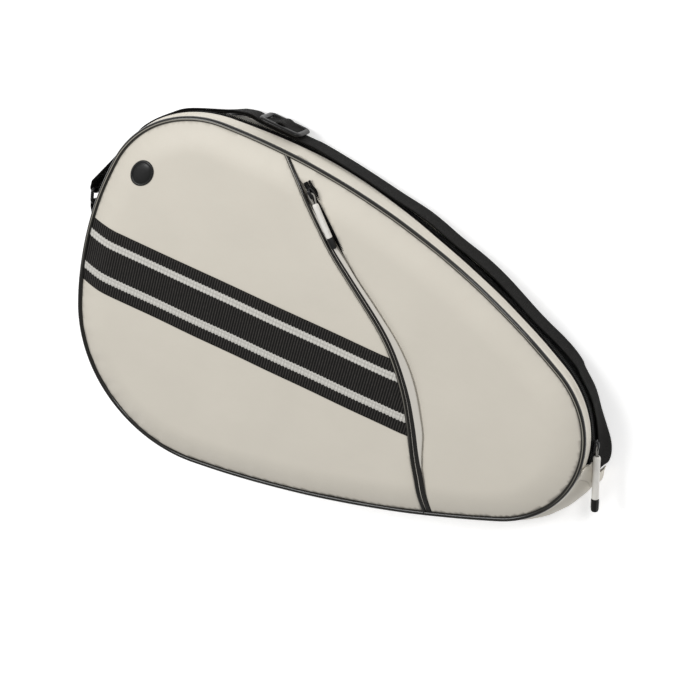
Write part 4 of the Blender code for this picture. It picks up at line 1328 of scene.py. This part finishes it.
def build_badge():
    """A plain oval ring with a smooth raised middle: no mark of any kind."""
    ahead = unit(BADGE_HEADING)
    side = left_of(ahead)
    sides = 64
    turns = np.arange(sides) * TAU / sides
    rings = [(1.0, -0.0002), (1.0, 0.0006), (0.97, 0.0010), (0.90, 0.0012), (0.83, 0.0010),
             (0.80, 0.0005), (0.76, 0.0005), (0.72, 0.0008), (0.60, 0.0011), (0.35, 0.0013)]
    points = []
    for share, height in rings:
        plan = (BADGE_AT
                + np.cos(turns)[:, None] * ahead * BADGE_HALF_LENGTH * share
                + np.sin(turns)[:, None] * side * BADGE_HALF_WIDTH * share)
        points.append(placed(plan, pocket_height(plan) + height))
    middle = BADGE_AT[None]
    points.append(placed(middle, pocket_height(middle) + 0.0014))
    count = len(rings)
    faces = grid_faces(count, sides, False, True)[:, ::-1].tolist()
    last = count * sides
    faces += [[(count - 1) * sides + i, (count - 1) * sides + (i + 1) % sides, last] for i in range(sides)]
    badge = new_mesh("plain_badge", np.concatenate(points), faces, "badge_black")
    badge.data.set_sharp_from_angle(angle=math.radians(45))
    finish_piece(badge, "front_shell", ("badge",))


# ---------------------------------------------------------------- pocket zip
def pocket_zip_height(s):
    """The exposed run lies at the slider's height; past it the zip sinks under the flap."""
    return POCKET_COIL_Z - 0.0045 * eased((s - 0.085) / 0.035) - 0.0012 * eased((0.030 - s) / 0.01)


def pocket_tape(side, sign, width):
    """Woven tape on one side of the pocket zip; left is -1."""
    places = np.linspace(POCKET_ZIP_FROM, POCKET_ZIP_TO, 190)
    height = pocket_zip_height(places) - 0.0016
    rows = [placed(seam(places, POCKET_ZIP_U + sign * u), height) for u in np.linspace(0.0005, width, 4)]
    if sign < 0:
        rows = rows[::-1]
    tape = sheet_of("pocket_zip_tape_" + side, np.array(rows), "zip_black", 0.0004)
    finish_piece(tape, "front_shell", ("pocket_tape_" + side,))


def pocket_teeth(side, sign, first, drop):
    """The pocket zip's teeth on one side, one pill each."""
    teeth = []
    for s in np.arange(POCKET_ZIP_FROM + first, POCKET_ZIP_TO - 0.001, POCKET_TOOTH_PITCH):
        here, further = seam(np.array([s, s + 0.001]), POCKET_ZIP_U + sign * 0.0014)
        along = normalised(further - here)
        origin = placed(here[None], float(pocket_zip_height(s)) - drop)[0]
        teeth.append((origin, (np.append(left_of(along), 0.0), -np.append(along, 0.0), UP)))
    tooth = rounded_bead(length=0.0024, width=0.0010, height=0.0013)
    coil = repeated("pocket_zip_teeth_" + side, tooth, teeth, "zip_coil")
    finish_piece(coil, "front_shell", ("pocket_coil_" + side,))


def build_pocket_zip():
    pocket_tape("left", -1, width=0.0046)
    pocket_teeth("left", -1, first=0.0030, drop=0.0003)
    pocket_tape("right", 1, width=0.0026)
    pocket_teeth("right", 1, first=0.0030 + POCKET_TOOTH_PITCH / 2, drop=0.0013)


def build_pocket_underlay():
    """Fabric under the open end of the pocket zip."""
    first, inner = 0.004, 0.0030
    places = np.linspace(first, 0.150, 80)
    outer = np.minimum(0.0225, 0.012 + (places - first) * 0.6)
    rows = []
    for share in np.linspace(0, 1, 6):
        plan = seam(places, inner + (outer - inner) * share)
        rows.append(placed(plan, face_height(plan) - 0.0034))
    underlay = sheet_of("pocket_zip_underlay", np.array(rows), "cream_fabric", 0.0006)
    finish_piece(underlay, "front_shell")


# ---------------------------------------------------------------- sliders, pullers
def rim_frame(angle, height):
    """A frame on the gusset: X back along the rim towards the tip, Y outward, Z up."""
    out = unit(angle)
    place = placed(rim(angle, wall_offset(angle, height)), height)
    axes = Matrix(((out[1], -out[0], 0), (out[0], out[1], 0), (0, 0, 1))).transposed()
    return Matrix.Translation(place) @ axes.to_4x4()


def pocket_frame():
    """X down the seam, Y up out of the panel, Z across it."""
    place = placed(seam(POCKET_SLIDER_AT, POCKET_ZIP_U), POCKET_COIL_Z)
    along = Vector((AHEAD[0], AHEAD[1], 0))
    up = Vector((0, 0, 1))
    axes = Matrix((along, up, along.cross(up))).transposed()
    return Matrix.Translation(place) @ axes.to_4x4()


def plate_outline(length, width):
    """Outline of a slider plate in (x, z): shield-shaped, narrower behind."""
    edge = [(-length / 2, width * PLATE_NOSE / 2), (-length * 0.10, width / 2),
            (length * 0.36, width / 2), (length / 2, width * 0.36)]
    return [(-length / 2, -width * PLATE_NOSE / 2), *edge, *[(x, -z) for x, z in edge[:0:-1]]]


def bevelled(mesh_data, width):
    shape = bmesh.new()
    shape.from_mesh(mesh_data)
    bmesh.ops.remove_doubles(shape, verts=shape.verts, dist=1e-7)
    bmesh.ops.recalc_face_normals(shape, faces=shape.faces)
    edges = [e for e in shape.edges if len(e.link_faces) == 2 and e.calc_face_angle() > 0.6]
    bmesh.ops.bevel(shape, geom=edges, offset=width, segments=2, profile=0.6,
                    affect="EDGES", clamp_overlap=True)
    shape.to_mesh(mesh_data)
    shape.free()


def prism(outline, low, high):
    """(points, faces) of an outline in X and Z, raised along Y from low to high."""
    count = len(outline)
    points = [(x, low, z) for x, z in outline] + [(x, high, z) for x, z in outline]
    faces = [list(range(count)), [count + i for i in range(count)][::-1]]
    for i in range(count):
        j = (i + 1) % count
        faces.append([j, i, count + i, count + j])
    return points, faces


def slider(prefix, place, length, width, bail_width):
    """Two rounded plates, the post between them and an arched bail for the puller."""
    name, body = prefix + "_zip_slider", prefix + "_slider"
    outline = plate_outline(length, width)
    post_back, post_front, post_half = 0.0001 - length / 2, 0.0023 - length / 2, 0.0004
    post = [(post_back, -post_half), (post_back, post_half), (post_front, post_half),
            (post_front, -post_half)]
    parts = [prism(outline, PLATE_GAP, PLATE_OUTER), prism(outline, -PLATE_OUTER, -PLATE_GAP),
             prism(post, -PLATE_GAP, PLATE_GAP)]
    plates = joined(name, parts, "slider_metal")
    bevelled(plates.data, 0.00028)
    plates.data.shade_smooth()
    plates.data.set_sharp_from_angle(angle=math.radians(35))
    finish_piece(plates, body, (body,), place)
    turns = np.linspace(0, math.pi, 17)
    arch = np.stack([
        -BAIL_SPAN * np.cos(turns) * (1 + 0.12 * np.sin(turns)),
        PLATE_OUTER - 0.0003 + (BAIL_HEIGHT - 0.0006) * np.sin(turns) ** 0.55,
        np.zeros_like(turns)], -1)
    half, point, thick = bail_width / 2, bail_width / 2 + 0.0002, 0.00045
    section = [(-half, -thick), (half, -thick), (point, 0.0), (half, thick), (-half, thick), (-point, 0.0)]
    bail = swept(name + "_bail", arch, np.broadcast_to(UP, arch.shape), section, "slider_metal")
    finish_piece(bail, body, place=place)


def turned_piece(name, profile, sides, look):
    """A solid of revolution about X from (x, radius) pairs."""
    turns = np.arange(sides) * TAU / sides + math.pi / sides
    rows = [[(x, r * math.cos(a), r * math.sin(a)) for a in turns] for x, r in profile]
    points = np.array(rows).reshape(-1, 3)
    faces = grid_faces(len(profile), sides, False, True)[:, ::-1].tolist()
    faces.append(list(range(sides)))
    faces.append([(len(profile) - 1) * sides + i for i in range(sides)][::-1])
    return new_mesh(name, points, faces, look)


def puller(prefix, pivot, radius, grip_length, cap_length):
    """Cord loop, moulded grip with a soft waist and a dark end cap, along +X of the pivot."""
    reach = 0.0085
    half = 0.0024
    upper = [(reach + 0.002, half * 0.35), (reach * 0.75, half * 0.72), (reach * 0.4, half),
             (0.0008, half * 0.85)]
    route = [*upper, (-0.0004, 0.0), *[(x, -z) for x, z in upper[::-1]]]
    bow = spline([(x, 0.0, z) for x, z in route], 6)
    loop = tube(prefix + "_cord_loop", bow, CORD_RADIUS, "pull_cord", sides=10, reference=(0, 1, 0))
    start = reach + 0.0005
    end = start + grip_length
    profile = [(start, radius * 0.55), (start + 0.0004, radius * 0.82), (start + 0.0012, radius * 0.95)]
    for share in np.linspace(0, 1, 14):
        waist = 1.0 - 0.035 * math.sin(math.pi * share)
        profile.append((start + 0.0020 + (grip_length - 0.0030) * share, radius * waist))
    profile += [(end - 0.0004, radius * 0.97), (end, radius * 0.88)]
    grip = turned_piece(prefix + "_grip", profile, 24, "cream_rubber")
    cap_start = end + 0.0002
    cap_end = cap_start + cap_length
    cap_profile = [
        (cap_start, radius * 0.95), (cap_start + 0.0004, radius * 1.08),
        (cap_start + cap_length * 0.30, radius * 1.11), (cap_end - cap_length * 0.30, radius * 1.09),
        (cap_end - 0.0009, radius * 0.98), (cap_end - 0.0002, radius * 0.72), (cap_end, radius * 0.45)]
    cap = turned_piece(prefix + "_cap", cap_profile, 10, "black_rubber")
    cap.data.set_sharp_from_angle(angle=math.radians(25))
    for piece, slot, node in (
        (loop, "black_rubber", "_pull_loop"), (grip, "cream_rubber", "_puller_grip"),
        (cap, "black_rubber", "_puller_cap"),
    ):
        finish_piece(piece, prefix + "_puller", (prefix + node,), pivot)


def build_sliders():
    bail_hole = Matrix.Translation((0, PLATE_OUTER + (BAIL_HEIGHT - 0.0012) / 2, 0))
    main = rim_frame(SLIDER_ANGLE, float(zip_height(np.array(SLIDER_ANGLE))))
    slider("main", main, length=0.0110, width=0.0080, bail_width=0.0026)
    splay = Matrix.Rotation(MAIN_PULLER_SPLAY, 4, "Z")
    puller("main", main @ bail_hole @ splay, radius=0.0032, grip_length=0.040, cap_length=0.012)
    pocket = pocket_frame()
    slider("pocket", pocket, length=0.0095, width=0.0064, bail_width=0.0024)
    splay = Matrix.Rotation(-POCKET_PULLER_SPLAY, 4, "Y")
    puller("pocket", pocket @ bail_hole @ splay, radius=0.0027, grip_length=0.031, cap_length=0.010)


# ---------------------------------------------------------------- strap
def strap_base(x):
    """Height of the strap's lower edge."""
    flank = STRAP_TIP_Z + (STRAP_FLANK_Z - STRAP_TIP_Z) * eased((0.194 - x) / 0.040)
    return flank + (STRAP_HEAD_Z - STRAP_FLANK_Z) * eased((-0.010 - x) / 0.050)


def strap_guides():
    """Plan view of the strap from the tip seam to the ring, round it, and back outside."""
    flank = [
        (-6.5, 0.0028), (-2.0, 0.0034), (3.5, 0.0040), (12, 0.0042), (24, 0.0048), (38, 0.0046),
        (52, 0.0046), (61, 0.0054), (67, 0.0054), (71, 0.0066), (74, 0.0054), (77, 0.0066),
        (80, 0.0054), (84, 0.0056),
    ]
    head = (118, 132, 146, 158)
    inner = [rim(math.radians(degrees), offset) for degrees, offset in flank]
    inner += [np.array((x, BUCKLE_Y)) for x in (-0.066, -0.080, -0.120, -0.138)]
    inner += [rim(math.radians(degrees), 0.0036) for degrees in head]
    inner.append(RING_OUTER + (STRAP_LOOP_RADIUS, 0.006))
    bend = [RING_OUTER + unit(-math.pi * i / 8) * STRAP_LOOP_RADIUS for i in range(9)]
    outside = [RING_OUTER + (-STRAP_LOOP_RADIUS, 0.006)]
    outer_offset = 0.0036 + STRAP_LAYER_GAP * 0.8
    outside += [rim(math.radians(degrees), outer_offset) for degrees in head[::-1]]
    outside += [np.array((x, BUCKLE_Y + STRAP_LAYER_GAP * 0.85)) for x in (-0.138, -0.120, -0.086)]
    return inner, bend, outside


def webbing(name, plan, lean, width, base):
    """Flat black webbing on edge along a plan route; lean tips its upper edge outward."""
    case_middle = (-0.02, 0.0)
    low, high = placed(plan, base), placed(plan, base + width)
    middle = (low + high) / 2
    upright = normalised(high - low)
    outward = np.cross(directions(middle), upright)
    outward = outward * np.sign((outward[:, :2] * (plan - case_middle)).sum(1))[:, None]
    across = upright * np.cos(lean)[:, None] + outward * np.sin(lean)[:, None]
    profile = ribbon_profile(width, STRAP_THICKNESS)
    return swept(name, middle, across, profile, "black_webbing")


def build_strap():
    inner, bend, outside = strap_guides()
    route = np.concatenate([spline(inner, 6), np.array(bend), spline(outside, 6)])
    steps = np.hypot(*np.diff(route, axis=0).T)
    route = route[np.concatenate([[True], steps > 1e-6])]
    x = route[:, 0]
    lean = STRAP_LEAN * eased((-0.095 - x) / 0.05) * eased((x + 0.256) / 0.035)
    run = run_along(route)
    wave = 0.0005 * np.sin(run * TAU / 0.071) * eased((run - 0.02) / 0.03)
    strap = webbing("shoulder_strap_webbing", route, lean, STRAP_WIDTH, strap_base(x) + wave)
    finish_piece(strap, "back_shell", ("shoulder_strap",))


def build_anchor():
    """Webbing tab out of the end gusset, round the ring's inner bar and back."""
    loop_radius = 0.0026
    foot = rim(math.radians(181.8), WALL_OFFSET + ZIP_SIDE_BULGE + 0.0019)
    bend = [RING_INNER + unit(math.radians(-20 + 200 * i / 8)) * loop_radius for i in range(9)]
    guides = [foot, RING_INNER + (loop_radius, -0.006), *bend, RING_INNER + (-loop_radius, -0.006),
              foot + (-0.0022, -0.0005)]
    route = spline(guides, 3)
    width = STRAP_WIDTH - 0.0024
    base = np.full(len(route), strap_base(RING_INNER[0]) + 0.0012)
    tab = webbing("anchor_tab", route, np.zeros(len(route)), width, base)
    finish_piece(tab, "back_shell", ("strap_anchor",))


def build_ring():
    """A rectangular wire ring with round corners."""
    middle = float(strap_base(RING_INNER[0])) + STRAP_WIDTH / 2
    reach = RING_OUTER - RING_INNER
    span = np.hypot(*reach)
    ahead = reach / span
    shape = rounded_rectangle(span / 2, RING_HALF_HEIGHT, RING_CORNER, 6)
    path = placed(RING_INNER + ahead * (span / 2 + shape[:, :1]), middle + shape[:, 1])
    ring = tube("wire_ring", path, RING_WIRE, "slider_metal", closed=True,
                reference=np.append(left_of(ahead), 0.0))
    finish_piece(ring, "strap_ring", ("strap_ring",))


def build_buckle():
    """Three-bar slider: rounded rails and bars, with the webbing humped over its middle bar."""
    low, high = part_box("strap_buckle")
    middle = (low + high) / 2
    plan = np.array((middle.x - ORIGIN.x, low.y + 0.0013 - ORIGIN.y))
    down, up = placed(np.stack([plan, plan]), middle.z + np.array((-0.012, 0.012)))
    lean = Matrix.Rotation(-math.atan2(up[1] - down[1], up[2] - down[2]), 4, "X")
    place = Matrix.Translation(((down + up) / 2).tolist()) @ lean
    half = BUCKLE_LENGTH / 2 - 0.0010
    inside = STRAP_WIDTH / 2 + 0.0012
    loop = np.insert(rounded_rectangle(half, inside, BUCKLE_CORNER, 5), 1, 0.0, axis=1)
    across = np.cross(directions(loop, True), (0.0, 1.0, 0.0))
    section = circle(12, first=0.26) * (0.0026, BUCKLE_DEPTH * 0.62) + (0.0004, 0.0)
    outer = swept("buckle_frame", loop, across, section, "buckle_plastic", closed=True)
    bar_path = np.linspace((0.0, 0.0, 0.0005 - inside), (0.0, 0.0, inside - 0.0005), 9)
    bar_across = np.broadcast_to((1.0, 0.0, 0.0), bar_path.shape)
    bar_section = circle(12) * (0.0024, BUCKLE_DEPTH * 0.42)
    bar = swept("buckle_middle_bar", bar_path, bar_across, bar_section, "buckle_plastic")
    x = np.linspace(0.004 - half, half - 0.004, 33)
    hump = np.stack([x, 0.0034 * np.exp(-((x / 0.0060) ** 2)) - 0.0004, np.zeros_like(x)], -1)
    cover = swept("buckle_webbing", hump, np.broadcast_to(UP, hump.shape),
                  ribbon_profile(STRAP_WIDTH - 0.001, 0.0012), "black_webbing")
    for piece, slot, nodes in ((outer, "buckle_plastic", ("strap_buckle",)), (bar, "buckle_plastic", ()),
                               (cover, "black_webbing", ())):
        finish_piece(piece, "strap_buckle", nodes, place)


# ---------------------------------------------------------------- stage
CAMERA_AZIMUTH = math.radians(155.1)
CAMERA_ELEVATION = math.radians(55.6)
CAMERA_ROLL = math.radians(132.5)
CAMERA_DISTANCE = 1.8
CAMERA_LENS = 109.72
CAMERA_SHIFT = (0.0277, 0.0025)
SKY_STRENGTH = 0.34
PAPER_SIZE = 14.0
PAPER_GLOW = 0.42


def build_camera():
    toward = Vector((
        math.sin(CAMERA_AZIMUTH) * math.cos(CAMERA_ELEVATION),
        -math.cos(CAMERA_AZIMUTH) * math.cos(CAMERA_ELEVATION),
        math.sin(CAMERA_ELEVATION)))
    level = Vector((math.cos(CAMERA_AZIMUTH), math.sin(CAMERA_AZIMUTH), 0))
    upright = toward.cross(level)
    right = level * math.cos(CAMERA_ROLL) - upright * math.sin(CAMERA_ROLL)
    up = level * math.sin(CAMERA_ROLL) + upright * math.cos(CAMERA_ROLL)
    data = bpy.data.cameras.new("camera")
    data.lens = CAMERA_LENS
    data.shift_x, data.shift_y = CAMERA_SHIFT
    camera = bpy.data.objects.new("camera", data)
    bpy.context.scene.collection.objects.link(camera)
    aim = ORIGIN + Vector((0, 0, FRONT_RIM_Z))
    turn = Matrix((right, up, toward)).transposed().to_4x4()
    camera.matrix_world = Matrix.Translation(aim + toward * CAMERA_DISTANCE) @ turn
    bpy.context.scene.camera = camera


def area_light(name, place, size, power):
    """A round soft light that faces the case."""
    data = bpy.data.lights.new(name, "AREA")
    data.shape = "DISK"
    data.size = size
    data.energy = power
    light = bpy.data.objects.new(name, data)
    bpy.context.scene.collection.objects.link(light)
    aim = Vector((0, 0, 0.03))
    light.location = place
    light.rotation_euler = (aim - Vector(place)).to_track_quat("-Z", "Y").to_euler()


def build_stage():
    bpy.context.scene.view_settings.view_transform = "Standard"
    world = bpy.data.worlds.new("studio")
    world.use_nodes = True
    background = world.node_tree.nodes["Background"]
    background.inputs["Color"].default_value = (1.0, 1.0, 1.0, 1.0)
    background.inputs["Strength"].default_value = SKY_STRENGTH
    bpy.context.scene.world = world
    area_light("key_light", (-1.10, 0.45, 1.65), size=1.0, power=22)
    area_light("front_light", (0.60, 1.30, 1.25), size=0.5, power=10)
    bpy.ops.mesh.primitive_plane_add(size=PAPER_SIZE, location=(0, 0, -0.0002))
    floor = bpy.context.object
    floor.name = "studio_floor"
    paper = Look("studio_paper", (0.93, 0.93, 0.93), 0.9)
    paper.paint(paper.mix(paper.noise(0.5), (0.925, 0.925, 0.925), (0.935, 0.935, 0.935)))
    paper.set("Emission Color", (1.0, 1.0, 1.0, 1.0))
    paper.set("Emission Strength", PAPER_GLOW)
    floor.data.materials.append(paper.material)


# ---------------------------------------------------------------- build
build_camera()
build_stage()
build_layers()
build_front_panels()
build_piping()
build_flap()
build_seam_binding()
build_band()
build_badge()
build_pocket_zip()
build_pocket_underlay()
build_zip_side()
build_hinge_gusset()
build_tip_cuff()
build_gusset_linings()
build_sliders()
build_strap()
build_anchor()
build_ring()
build_buckle()
